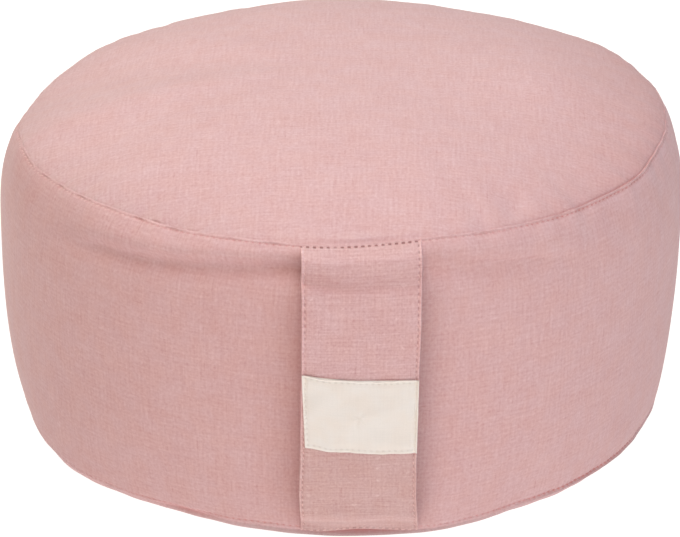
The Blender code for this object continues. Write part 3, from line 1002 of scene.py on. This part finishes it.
def strapSurface(across, distance, level):
    # point over the band: inner face at clearance + hang (stand-off + flattening a^2 / 2R) less
    # the crease, outer face a thickness above it, and both sink into the seams at the ends. level
    # goes from 0 at the inner face to 1 at the outer one
    s = strap
    across, distance, level = np.broadcast_arrays(across, distance, level)
    inMiddle = 1.0 - np.clip(2 * across / s["width"], -1.0, 1.0) ** 2
    arched = ease((distance - strapHigh + s["archOver"]) / s["archOver"])
    distance = distance - s["arch"] * inMiddle * arched
    radius, height, outward, upward = onOutline(topSeamAt + distance)
    first = ease((distance - s["bendAt"]) / s["upperBend"])
    second = ease((distance - s["secondAt"]) / s["secondBend"])
    fromTop = s["firstShare"] * first + (1.0 - s["firstShare"]) * second
    fromBottom = ease((bandLength - s["endDistance"] - distance) / s["lowerBend"])
    hang = fromTop * fromBottom
    nearEnd = np.minimum(distance - strapLow, strapHigh - distance)
    sewn = ease((nearEnd + s["sewnPast"]) / s["sewnOver"])
    flatter = s["flattening"] * across**2 / (2 * cushion["widestRadius"])
    inner = s["clearance"] * sewn - s["tuck"] * (1 - sewn) + hang * (s["standOff"] + flatter)
    inner = inner - s["creaseDepth"] * strapCrease(across, distance)
    thick = s["thickness"] * sewn + (s["tuck"] + s["sewnFuller"]) * (1 - sewn)
    lift = inner + level * (thick + strapRelief(across, distance))
    around = s["azimuth"] + across / cushion["topSeamRadius"]
    lift = lift + shoulderRelief(around, distance) * ease(distance / s["shoulderOver"])
    reach = radius + outward * lift
    travel = distance / bandLength
    swung = ease((travel - s["swingFrom"]) / (1.0 - s["swingFrom"]))
    aside = s["swing"] * swung - s["bow"] * np.sin(math.pi * travel)
    angle = s["azimuth"] + (across + aside) / reach
    x = reach * np.cos(angle)
    y = reach * np.sin(angle)
    return uneven(np.stack([x, y, height + upward * lift], axis=-1))


def sectionRound(faceSteps, edgeSteps, backSteps):
    # closed section of a sheet with rounded edges: (share across -1..1 of half the flat part,
    # edge share -1..1, level 0..1), going over the face, round the edge and back
    face = np.sin(np.linspace(-math.pi / 2, math.pi / 2, faceSteps))
    face = 0.45 * face + 0.55 * np.linspace(-1.0, 1.0, faceSteps)  # closer towards its edges
    turn = np.linspace(0.0, math.pi, edgeSteps + 2)[1:-1]
    back = np.linspace(1.0, -1.0, backSteps)
    flat = np.concatenate([face, np.ones(edgeSteps), back, -np.ones(edgeSteps)])
    zero = np.zeros
    edge = np.concatenate([zero(faceSteps), np.sin(turn), zero(backSteps), -np.sin(turn)])
    rise = pulse(turn)
    level = np.concatenate([np.ones(faceSteps), rise, zero(backSteps), rise[::-1]])
    return flat, edge, level


def carriedSheet(name, surface, halfWidth, rows, section, bulge, uvShift, markRules):
    # a closed section carried along a sheet's length: one row of points for each place in rows,
    # both ends capped
    flat, edge, level = sectionRound(*section)
    rowGrid = rows[:, None] + np.zeros_like(flat)
    across = (halfWidth(rowGrid) - bulge) * flat + bulge * edge
    points = surface(across, rowGrid, level).reshape(-1, 3)
    around = len(flat)
    k = np.arange(around)
    a = np.arange(len(rows) - 1)[:, None] * around + k
    b = a - k + (k + 1) % around
    quads = np.stack([a, a + around, b + around, b], axis=-1).reshape(-1, 4)
    caps = [k[None, :], (len(rows) - 1) * around + k[::-1][None, :]]
    uvGrid = np.stack([across + uvShift, -rowGrid], axis=-1).reshape(-1, 2)
    faces = [quads] + caps
    uvs = [uvGrid[f] for f in faces]
    outer = level > 0.5
    marks = {title: (rule(across, rowGrid) * outer).reshape(-1) for title, rule in markRules.items()}
    return addMesh(name, points, faces, uvs, marks)


def buildStrap():
    s = strap
    fineEnd = s["endRows"]
    rows = np.concatenate([
        spanOf(strapLow, strapLow + fineEnd, s["endSpacing"]),
        spanOf(strapLow + fineEnd, strapHigh - fineEnd, s["pitch"] / s["rowsPerStitch"]),
        spanOf(strapHigh - fineEnd, strapHigh, s["endSpacing"]),
        [strapHigh],
    ])
    made = carriedSheet(
        "strapCloth",
        strapSurface,
        lambda distance: strapWidth(distance) / 2,
        rows,
        s["section"],
        s["edgeBulge"],
        onTheFlat["strap"],
        {"paintedShade": strapPaintedShade, "shadedColour": strapShadedColour, "paintedShadeAndLight": strapPaintedHighlight},
    )
    middle = strapSurface(np.zeros(len(rows)), rows, 0.5)
    print("strap runs", round(float(distances(middle)[-1]) * 1000, 1), "mm from seam to seam")
    return made


# bare cream patch sewn on the strap
patch = {
    "width": 0.0515,
    "height": 0.0348,
    "middle": 0.5244,
    "slant": 0.0006,
    "cornerLift": 0.0023,  # its left end sits higher
    "cornerFrom": -0.90,
    "cornerOver": 0.44,
    "lean": 0.0019,  # by which its lower left corner lies further in
    "leanOver": 0.9,
    "wave": 0.0003,
    "waveTurn": 5.5,
    "thickness": 0.0007,
    "lift": 0.00012,
    "stitchInset": 0.0013,
    "pitch": 0.0027,
    "holeHalf": 0.00036,
    "dash": (1.6, 0.0),
    # painted shade in the needle holes
    "holeDark": 0.35,
    "cornerPast": 0.0005,  # how far a row of holes runs past the corner
    "grooveDepth": 0.00028,
    "grooveHalf": 0.0008,
    "puff": 0.00055,
    "puffOver": 0.0040,
    "puffVaries": 0.4,
    "puffSlant": 60.0,
    "puffWaves": (2, 6, 51),
    "edgeLift": 0.00040,
    "edgeWaves": (9, 26, 52),
    "underShare": 0.3,  # of its relief, at its underside
    # painted highlight along its edges, and its half-width
    "rimLight": 0.12,
    "rimHalf": 0.00035,
    "shadow": (0.0001, 0.00045, 0.30),  # on the strap: distance, half-width, share
    "rows": 92,
    "section": (136, 4, 24),
}
patchMiddle = strap["endDistance"] + patch["middle"] * (bandLength - 2 * strap["endDistance"])


def patchRelief(across, down):
    # pressed along the stitches, puffed a little inside them, its edge lifting here and there
    p = patch
    side = p["width"] / 2 - np.abs(across)
    end = p["height"] / 2 - np.abs(down)
    inward = np.minimum(side, end) - p["stitchInset"]
    turn = np.arctan2(down, across)
    change = wander(turn + p["puffSlant"] * down, *p["puffWaves"])
    puff = 1.0 - p["puffVaries"] + p["puffVaries"] * change
    height = p["puff"] * ease(inward / p["puffOver"]) * puff
    height -= p["grooveDepth"] * bell(inward / p["grooveHalf"])
    edge = 0.5 + 0.5 * wander(turn, *p["edgeWaves"])
    return height + p["edgeLift"] * edge * ease(-inward / p["stitchInset"])


def patchDrop(share):
    # slant share + wave sin(turn share) - corner lift (1 - ease)
    p = patch
    drop = p["slant"] * share + p["wave"] * np.sin(p["waveTurn"] * share)
    return drop - p["cornerLift"] * (1.0 - ease((share - p["cornerFrom"]) / p["cornerOver"]))


def patchSurface(across, down, level):
    # strap face + lift + level thickness, at the patch's row + its drop
    p = patch
    across, down, level = np.broadcast_arrays(across, down, level)
    share = across / (p["width"] / 2)
    distance = patchMiddle + down + patchDrop(share)
    onto = across + p["lean"] * ease(-share / p["leanOver"]) * (down / p["height"] + 0.5)
    strapFace = strap["thickness"] + p["lift"]
    relief = (p["underShare"] + (1.0 - p["underShare"]) * level) * patchRelief(across, down)
    lift = strapFace + level * p["thickness"] + relief
    return strapSurface(onto, distance, lift / strap["thickness"])


def patchPaintedShade(across, down):
    # painted shade, 0 to 1, at the needle holes along its four sides
    p = patch
    side = p["width"] / 2 - p["stitchInset"] - np.abs(across)
    end = p["height"] / 2 - p["stitchInset"] - np.abs(down)
    holes = np.zeros_like(side)
    for along, fromLine, fromCorner in ((down, side, end), (across, end, side)):
        hole = dashes(fullTurn * along / p["pitch"], p["dash"]) * bell(fromLine / p["holeHalf"])
        holes += hole * (fromCorner > -p["cornerPast"])
    return np.clip(holes, 0.0, 1.0) * p["holeDark"]


def patchPaintedHighlight(across, down):
    # painted highlight: less than 0 along its edges, whose rounding catches the light
    p = patch
    inward = np.minimum(p["width"] / 2 - np.abs(across), p["height"] / 2 - np.abs(down))
    return -p["rimLight"] * bell((inward - p["rimHalf"]) / p["rimHalf"])


def buildPatch():
    p = patch
    return carriedSheet(
        "patchCloth",
        patchSurface,
        lambda row: p["width"] / 2 + np.zeros_like(row),
        np.linspace(-p["height"] / 2, p["height"] / 2, p["rows"]),
        p["section"],
        p["thickness"] / 2,
        onTheFlat["patch"],
        {"paintedShade": patchPaintedShade, "paintedShadeAndLight": patchPaintedHighlight},
    )


# stitches: each a small rounded thread
thread = {
    "seam": (0.0019, 0.00050, 0.00040, 0.00006),  # length, width, height, how far it sinks in
    "edge": (0.0016, 0.00042, 0.00036, 0.00006),
    "patch": (0.0018, 0.00040, 0.00034, 0.00004),
    "ringsOf": 4,
    "sides": 6,
    "fuller": 0.6,  # power of its round ends, less than 1 for blunter ones
    "slant": 0.40,
    "unlike": 0.10,
    "step": 0.0001,  # how far off its directions are read
    "insideHeight": 0.08,  # a point inside the cushion, which its outer side faces away from
    "strapHolds": 0.0008,  # past the strap's edges
}


def threadBall():
    # a unit ball with fuller ends: its three coordinates, and its faces
    around = np.arange(thread["sides"]) / thread["sides"] * fullTurn
    tilt = np.arange(1, thread["ringsOf"] + 1) / (thread["ringsOf"] + 1) * math.pi
    wide = np.repeat(np.sin(tilt) ** thread["fuller"], len(around))
    p = np.concatenate([[1.0], np.repeat(np.cos(tilt), len(around)), [-1.0]])
    q = np.concatenate([[0.0], wide * np.tile(np.cos(around), len(tilt)), [0.0]])
    r = np.concatenate([[0.0], wide * np.tile(np.sin(around), len(tilt)), [0.0]])
    k = np.arange(len(around))
    ahead = (k + 1) % len(around)
    rings = [1 + ring * len(around) for ring in range(len(tilt))]
    faces = [np.stack([np.zeros_like(k), 1 + k, 1 + ahead], axis=1)]
    faces.append(np.stack([rings[-1] + ahead, rings[-1] + k, np.full_like(k, len(p) - 1)], axis=1))
    for s in rings[:-1]:
        corners = [s + k, s + len(k) + k, s + len(k) + ahead, s + ahead]
        faces.append(np.stack(corners, axis=1))
    return (p, q, r), faces


def stitchRow(name, surface, first, second, size, seed, upright=False):
    # One rounded thread at each place of a surface: centre + p length/2 run + q width/2 side +
    # r height/2 normal, with p, q, r on a unit ball and the run slanted by a small angle.
    # first and second are the surface's coordinates; the run follows the second if upright
    length, width, height, sink = size
    small = thread["step"]
    steps = ((0.0, small), (-small, 0.0)) if upright else ((small, 0.0), (0.0, small))
    centre = surface(first, second)
    ahead, aside = (surface(first + a, second + b) for a, b in steps)
    run = ahead - centre
    run /= np.linalg.norm(run, axis=1)[:, None]
    normal = np.cross(run, aside - centre)
    normal /= np.linalg.norm(normal, axis=1)[:, None]
    fromInside = centre - [0.0, 0.0, thread["insideHeight"]]
    normal = normal * np.sign((normal * fromInside).sum(axis=1))[:, None]
    side = np.cross(normal, run)
    draw = np.random.default_rng(seed)
    lean = thread["slant"] + thread["unlike"] * draw.uniform(-1, 1, len(centre))[:, None]
    run, side = run * np.cos(lean) + side * np.sin(lean), side * np.cos(lean) - run * np.sin(lean)
    length = length * (1 + thread["unlike"] * draw.uniform(-1, 1, len(centre)))[:, None, None]

    ball, parts = threadBall()
    points = (centre - normal * sink)[:, None, :]
    for share, extent, way in zip(ball, (length, width, height), (run, side, normal)):
        points = points + 0.5 * extent * share[None, :, None] * way[:, None, :]
    offset = (np.arange(len(centre)) * len(ball[0]))[:, None, None]
    faces = [(offset + part[None]).reshape(-1, part.shape[1]) for part in parts]
    made = addMesh(name, points.reshape(-1, 3), faces)
    print(name, "has", len(centre), "stitches")
    return made


def onCushion(along, distance):
    # the cover's surface at an arc length, angle = along / widest radius
    return cushionSurface(along / cushion["widestRadius"], distance)


def onStrap(across, distance):
    # the strap's outer face
    return strapSurface(across, distance, 1.0)


def onPatch(across, down):
    # the patch's outer face
    return patchSurface(across, down, 1.0)


def seamStitches(name, fromSeam, towards, seed):
    # one stitch between each two holes of a seam, on the strap where that covers the seam
    angle = (np.arange(seam["stitches"]) + 0.5) / seam["stitches"] * fullTurn
    across = fromStrap(angle) * cushion["topSeamRadius"]
    covered = np.abs(across) < strap["width"] / 2 + thread["strapHolds"]
    inset = strap["endStitchAt"]
    end = strapLow + inset if towards > 0 else strapHigh - inset
    free = angle[~covered]
    nearer = placed(free, 0.0, seam["nearerPlaces"])
    distance = fromSeam + towards * (seam["stitchAt"] - nearer)
    along = free * cushion["widestRadius"]
    loose = stitchRow(name + "OnBand", onCushion, along, distance, thread["seam"], seed)
    ends = np.full(covered.sum(), end)
    return loose, stitchRow(name + "OnStrap", onStrap, across[covered], ends, thread["seam"], seed + 1)


def buildStitches():
    made = {"cushion_cloth": [], "strap_cloth": [], "patch_cloth": []}
    for name, at, towards, seed in (("topSeam", topSeamAt, 1, 61), ("bottomSeam", bottomSeamAt, -1, 65)):
        loose, bound = seamStitches(name, at, towards, seed)
        made["cushion_cloth"].append(loose)
        made["strap_cloth"].append(bound)

    rows = strapLow + (np.arange(1, strapStitchRows - 1) + 0.5) * strap["pitch"]
    for name, hand, seed in (("strapEdgeLeft", -1, 71), ("strapEdgeRight", 1, 72)):
        across = hand * (strapWidth(rows) / 2 - strap["stitchInset"])
        edge = stitchRow(name, onStrap, across, rows, thread["edge"], seed, upright=True)
        made["strap_cloth"].append(edge)

    wide = patch["width"] / 2 - patch["stitchInset"]
    tall = patch["height"] / 2 - patch["stitchInset"]
    for name, half, fixed, upright, seed in (
        ("patchTop", wide, -tall, False, 81),
        ("patchBottom", wide, tall, False, 82),
        ("patchLeft", tall, -wide, True, 83),
        ("patchRight", tall, wide, True, 84),
    ):
        count = 2 * round(half / patch["pitch"])
        run = (np.arange(count) + 0.5 - count / 2) * patch["pitch"]
        still = np.full(count, fixed)
        first, second = (still, run) if upright else (run, still)
        side = stitchRow(name, onPatch, first, second, thread["patch"], seed, upright)
        made["patch_cloth"].append(side)
    return made


class Wire:
    # one output of a node; arithmetic on it adds Math nodes, and add() adds any other node
    def __init__(self, tree, socket=None):
        self.tree = tree
        self.socket = socket

    def connect(self, node, sockets):
        # values and links of a node's inputs
        for name, value in sockets.items():
            if isinstance(value, Wire):
                self.tree.links.new(value.socket, node.inputs[name])
            else:
                node.inputs[name].default_value = value

    def add(self, kind, settings, sockets, out=0):
        node = self.tree.nodes.new(kind)
        for name, value in settings.items():
            setattr(node, name, value)
        self.connect(node, sockets)
        return Wire(self.tree, node.outputs[out])

    def maths(self, operation, first, second):
        return self.add("ShaderNodeMath", {"operation": operation}, {0: first, 1: second})

    def vectors(self, operation, sockets):
        return self.add("ShaderNodeVectorMath", {"operation": operation}, sockets)

    def __add__(self, other):
        return self.maths("ADD", self, other)

    __radd__ = __add__

    def __sub__(self, other):
        return self.maths("SUBTRACT", self, other)

    def __rsub__(self, other):
        return self.maths("SUBTRACT", other, self)

    def __mul__(self, other):
        return self.maths("MULTIPLY", self, other)

    __rmul__ = __mul__

    def blend(self, first, second):
        # colours mixed by this value
        sockets = {0: self, 6: first, 7: second}
        return self.add("ShaderNodeMix", {"data_type": "RGBA"}, sockets, 2)


# cloth looks: linear colours, sizes in metres. On the cover and the strap the band colours are the
# cloth's colours painted darker as shade, and the dark colour is the colour painted where shade lies
looks = {
    "cushion_cloth": {
        "colour": (0.7245, 0.4585, 0.4620),
        "warm": (0.7265, 0.4485, 0.4420),
        "band": (0.7125, 0.4400, 0.4380),
        "bandShadedWarm": (0.7145, 0.4280, 0.4150),
        "paintedDark": (0.650, 0.245, 0.225),
        "tones": (0.50, 1.05, 1.08),  # how much red, green and blue vary from yarn to yarn
        "upright": 0.32,
        "level": 0.30,
        "mottle": 0.42,
        "slub": 0.12,
        "nep": 0.06,
        "cloud": 0.12,
        "yarn": 0.00055,
        "bump": 0.14,
        "roughness": 0.92,
        "sheen": 0.10,
        "levelSlubs": 0.6,
    },
    "strap_cloth": {
        "colour": (0.7205, 0.4545, 0.4550),
        "warm": (0.7205, 0.4420, 0.4320),
        "band": (0.6670, 0.4240, 0.4070),
        "bandShadedWarm": (0.6670, 0.4125, 0.3860),
        "paintedDark": (0.330, 0.140, 0.130),
        "tones": (0.50, 0.98, 1.00),
        "upright": 0.32,
        "level": 0.54,
        "mottle": 0.50,
        "slub": 0.13,
        "nep": 0.18,
        "cloud": 0.12,
        "yarn": 0.00044,
        "bump": 0.17,
        "roughness": 0.92,
        "sheen": 0.10,
        "levelSlubs": 1.0,
    },
    "patch_cloth": {
        "colour": (0.885, 0.815, 0.760),
        "warm": (0.885, 0.798, 0.730),
        "band": (0.885, 0.815, 0.760),
        "bandShadedWarm": (0.885, 0.798, 0.730),
        "paintedDark": (0.560, 0.480, 0.420),
        "tones": (1.0, 1.0, 1.0),
        "upright": 0.06,
        "level": 0.06,
        "mottle": 0.05,
        "slub": 0.02,
        "nep": 0.0,
        "cloud": 0.04,
        "yarn": 0.00030,
        "bump": 0.12,
        "roughness": 0.70,
        "sheen": 0.05,
        "levelSlubs": 0.2,
    },
}
# what the weaves share. Noises: scale across and down per metre, detail, place in the noise
weave = {
    "streak": 55.0,  # along a yarn
    "mottle": 0.8,  # as a share of the yarns' scale
    "yarnDetail": 2.0,
    "neps": (300.0, 420.0, 0.0, 37.0),
    "levelSlubs": (90.0, 620.0, 1.0, 11.0),
    "uprightSlubs": (620.0, 70.0, 1.0, 17.0),
    "cloud": (38.0, 38.0, 3.0, 23.0),
    "hue": (85.0, 85.0, 2.0, 29.0),
    "noiseRoughness": 0.6,
    "nepPeaks": (0.74, 0.82),  # noise where one starts, and where it is full
    "levelPeaks": (0.66, 0.78),
    "otherPeaks": (0.68, 0.80),
    "huePeaks": (0.35, 0.65),
    # how far the painted shade mark goes towards the painted shade colour
    "paintedShadeMost": 0.9,
    "overUnder": 0.25,
    "bumpHeight": 0.00025,
    "specular": 0.25,
    "sheenRoughness": 0.5,
}
sewing = {
    "cushion_cloth": ((0.86, 0.60, 0.57), (0.72, 0.45, 0.43)),  # lighter and darker
    "strap_cloth": ((0.86, 0.59, 0.56), (0.74, 0.47, 0.44)),
    "patch_cloth": ((0.93, 0.88, 0.83), (0.80, 0.74, 0.68)),
    "scale": 450.0,
    "detail": 2.0,
    "roughness": 0.75,
    "specular": 0.3,
}


def newMaterial(name):
    material = bpy.data.materials.new(name)
    material.use_nodes = True
    shader = material.node_tree.nodes["Principled BSDF"]
    return material, Wire(material.node_tree), shader


def clothMaterial(name, look):
    # plain weave on the cloth's own flat metres: streaks along both yarns, slubs, neps, slow clouds of
    # colour, and a bump of the yarns' over and under. The painted light and shade on the mesh: the
    # painted shade mark blends to the painted shade colour, the shaded colour mark to the band's shaded
    # colours, and the light and shade mark darkens as painted shade, below 0 it paints a highlight
    w = weave
    material, start, shader = newMaterial(name)
    uv = start.add("ShaderNodeUVMap", {"uv_map": "cloth"}, {}, "UV")

    def noise(across, down, detail, place):
        flat = {"Vector": uv, "Scale": (across, down, 1.0), "Location": (place, place, place)}
        mapped = start.add("ShaderNodeMapping", {}, flat)
        grain = {"Vector": mapped, "Scale": 1.0, "Detail": detail, "Roughness": w["noiseRoughness"]}
        return start.add("ShaderNodeTexNoise", {"noise_dimensions": "3D"}, grain)

    def peaks(value, low, high):
        sockets = {"Value": value, "From Min": low, "From Max": high}
        return start.add("ShaderNodeMapRange", {"interpolation_type": "SMOOTHSTEP"}, sockets)

    def marked(title):
        return start.add("ShaderNodeAttribute", {"attribute_name": title}, {}, "Fac")

    yarns = 0.5 / look["yarn"]
    upright = noise(yarns, w["streak"], w["yarnDetail"], 0.0)
    level = noise(w["streak"], yarns, w["yarnDetail"], 7.0)
    mottle = noise(yarns * w["mottle"], yarns * w["mottle"], 1.0, 3.0)
    thickLevel = noise(*w["levelSlubs"])
    thickUpright = noise(*w["uprightSlubs"])

    darkSlub = peaks(thickLevel, *w["levelPeaks"]) * look["levelSlubs"]
    darkSlub = darkSlub + peaks(thickUpright, *w["otherPeaks"])
    lightSlub = peaks(1 - thickLevel, *w["otherPeaks"]) * look["levelSlubs"]
    shade = (upright - 0.5) * look["upright"] + (level - 0.5) * look["level"]
    shade = shade + (mottle - 0.5) * look["mottle"] + (noise(*w["cloud"]) - 0.5) * look["cloud"]
    shade = shade + (lightSlub - darkSlub) * look["slub"]
    shade = shade + peaks(noise(*w["neps"]), *w["nepPeaks"]) * look["nep"]

    warmth = peaks(noise(*w["hue"]), *w["huePeaks"])
    onPanel, onBand = (
        warmth.blend((*look[cool], 1.0), (*look[warm], 1.0))
        for cool, warm in (("colour", "warm"), ("band", "bandShadedWarm"))
    )
    tinted = marked("shadedColour").blend(onPanel, onBand)
    tone = start.vectors("MULTIPLY_ADD", {0: shade, 1: look["tones"], 2: (1.0, 1.0, 1.0)})
    toned = start.vectors("MULTIPLY", {0: tinted, 1: tone})
    bright = start.vectors("SCALE", {0: toned, "Scale": 1.0 - marked("paintedShadeAndLight")})
    final = (marked("paintedShade") * w["paintedShadeMost"]).blend(bright, (*look["paintedDark"], 1.0))

    turns = fullTurn / (2 * look["yarn"])
    across, down = (
        start.add("ShaderNodeSeparateXYZ", {}, {"Vector": uv}, axis) * turns for axis in ("X", "Y")
    )
    crossing = start.maths("SINE", across, 0.0) * start.maths("SINE", down, 0.0)
    height = crossing * w["overUnder"] + upright + level + mottle + darkSlub + lightSlub
    raised = {"Strength": look["bump"], "Distance": w["bumpHeight"], "Height": height}
    start.connect(shader, {
        "Base Color": final,
        "Normal": start.add("ShaderNodeBump", {}, raised, "Normal"),
        "Roughness": look["roughness"],
        "Specular IOR Level": w["specular"],
        "Sheen Weight": look["sheen"],
        "Sheen Roughness": w["sheenRoughness"],
    })
    return material


def threadMaterial(name, colours):
    # sewing thread, a little lighter and darker from stitch to stitch
    material, start, shader = newMaterial(name)
    where = start.add("ShaderNodeTexCoord", {}, {}, "Object")
    grain = {"Vector": where, "Scale": sewing["scale"], "Detail": sewing["detail"]}
    lighter, darker = colours
    change = start.add("ShaderNodeTexNoise", {}, grain)
    start.connect(shader, {
        "Base Color": change.blend((*darker, 1.0), (*lighter, 1.0)),
        "Roughness": sewing["roughness"],
        "Specular IOR Level": sewing["specular"],
    })
    return material


# studio: camera as the photograph was taken, soft light all round, pale floor
studio = {
    "aim": (-0.0007, 0.0, 0.0720),
    "away": 1.600,
    "elevation": math.radians(24.43),
    "roll": math.radians(1.125),
    "lens": 173.12,
    "sensor": 36.0,
    "nearest": 0.05,
    "furthest": 60.0,
    "lampsAim": (0.0, 0.0, 0.08),
    "sky": 0.0,
    "floor": (0.14, 0.14, 0.14),
    "floorRoughness": 0.9,
    "glow": 1.02,
    "glowColour": (1.0, 0.975, 0.955),
    "floorSize": 30.0,
    "floorHeight": -0.0004,
}
lamps = {  # place, size, watts, colour
    "overhead": ((0.0, 0.1, 1.9), 2.0, 19.2, (0.84, 0.89, 1.0)),
    "overheadFront": ((0.0, -1.3, 1.7), 1.6, 15.6, (1.0, 0.89, 0.77)),
    "frontRight": ((1.5, -1.6, 0.9), 1.4, 10.7, (0.64, 0.82, 1.0)),
    "frontLow": ((0.0, -2.4, 0.5), 1.2, 3.2, (1.0, 0.80, 0.66)),
    "backLeft": ((-1.0, 1.0, 1.4), 1.4, 13.5, (0.80, 1.0, 0.86)),
    "nearLeft": ((-0.7, 0.1, 1.7), 1.2, 5.5, (1.0, 0.80, 0.64)),
}


def placeCamera(scene):
    # aim + away (0, -cos, sin) of the elevation, tipped to look down at it and rolled a little
    camera = bpy.data.objects.new("studioCamera", bpy.data.cameras.new("studioCamera"))
    camera.data.lens = studio["lens"]
    camera.data.sensor_fit = "HORIZONTAL"
    camera.data.sensor_width = studio["sensor"]
    camera.data.clip_start = studio["nearest"]
    camera.data.clip_end = studio["furthest"]
    back = Vector((0.0, -math.cos(studio["elevation"]), math.sin(studio["elevation"])))
    place = Matrix.Translation(Vector(studio["aim"]) + back * studio["away"])
    tilt = Matrix.Rotation(math.pi / 2 - studio["elevation"], 4, "X")
    camera.matrix_world = place @ tilt @ Matrix.Rotation(studio["roll"], 4, "Z")
    scene.collection.objects.link(camera)
    scene.camera = camera


def hangLamps(scene):
    for name, (at, size, watts, colour) in lamps.items():
        lamp = bpy.data.lights.new(name, "AREA")
        lamp.shape = "DISK"
        lamp.size = size
        lamp.energy = watts
        lamp.color = colour
        holder = bpy.data.objects.new(name, lamp)
        holder.location = at
        aim = Vector(studio["lampsAim"]) - Vector(at)
        holder.rotation_euler = aim.to_track_quat("-Z", "Y").to_euler()
        scene.collection.objects.link(holder)


def layFloor():
    # wide square just under the cushion, which glows so that it comes out nearly white
    half = studio["floorSize"] / 2
    corners = np.array([(-half, -half), (half, -half), (half, half), (-half, half)])
    level = np.column_stack([corners, np.full(4, studio["floorHeight"])])
    floor = addMesh("studioFloor", level, [np.array([[0, 1, 2, 3]])])
    material, start, shader = newMaterial("paleFloor")
    start.connect(shader, {
        "Base Color": (*studio["floor"], 1.0),
        "Roughness": studio["floorRoughness"],
        "Specular IOR Level": 0.0,
        "Emission Color": (*studio["glowColour"], 1.0),
        "Emission Strength": studio["glow"],
    })
    floor.data.materials.append(material)


def buildStudio():
    scene = bpy.context.scene
    placeCamera(scene)
    hangLamps(scene)
    world = bpy.data.worlds.new("studioSky")
    world.use_nodes = True
    sky = world.node_tree.nodes["Background"]
    sky.inputs["Color"].default_value = (1.0, 1.0, 1.0, 1.0)
    sky.inputs["Strength"].default_value = studio["sky"]
    scene.world = world
    scene.view_settings.view_transform = "Standard"
    layFloor()
    print("studio set up")


def dress():
    body = buildCushion()
    cloths = {"cushion_cloth": body, "strap_cloth": buildStrap(), "patch_cloth": buildPatch()}
    stands = {"cushion_cloth": "filled_cushion", "strap_cloth": "handle_strap", "patch_cloth": "label"}
    stitches = buildStitches()
    for slot, cloth in cloths.items():
        cloth.data.materials.append(clothMaterial(slot + "_weave", looks[slot]))
        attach(cloth, "root")
        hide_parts(stands[slot])
        stitching = threadMaterial(slot + "_thread", sewing[slot])
        for piece in stitches[slot]:
            piece.data.materials.append(stitching)
            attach(piece, "root")
    print("pieces dressed")


dress()
buildStudio()
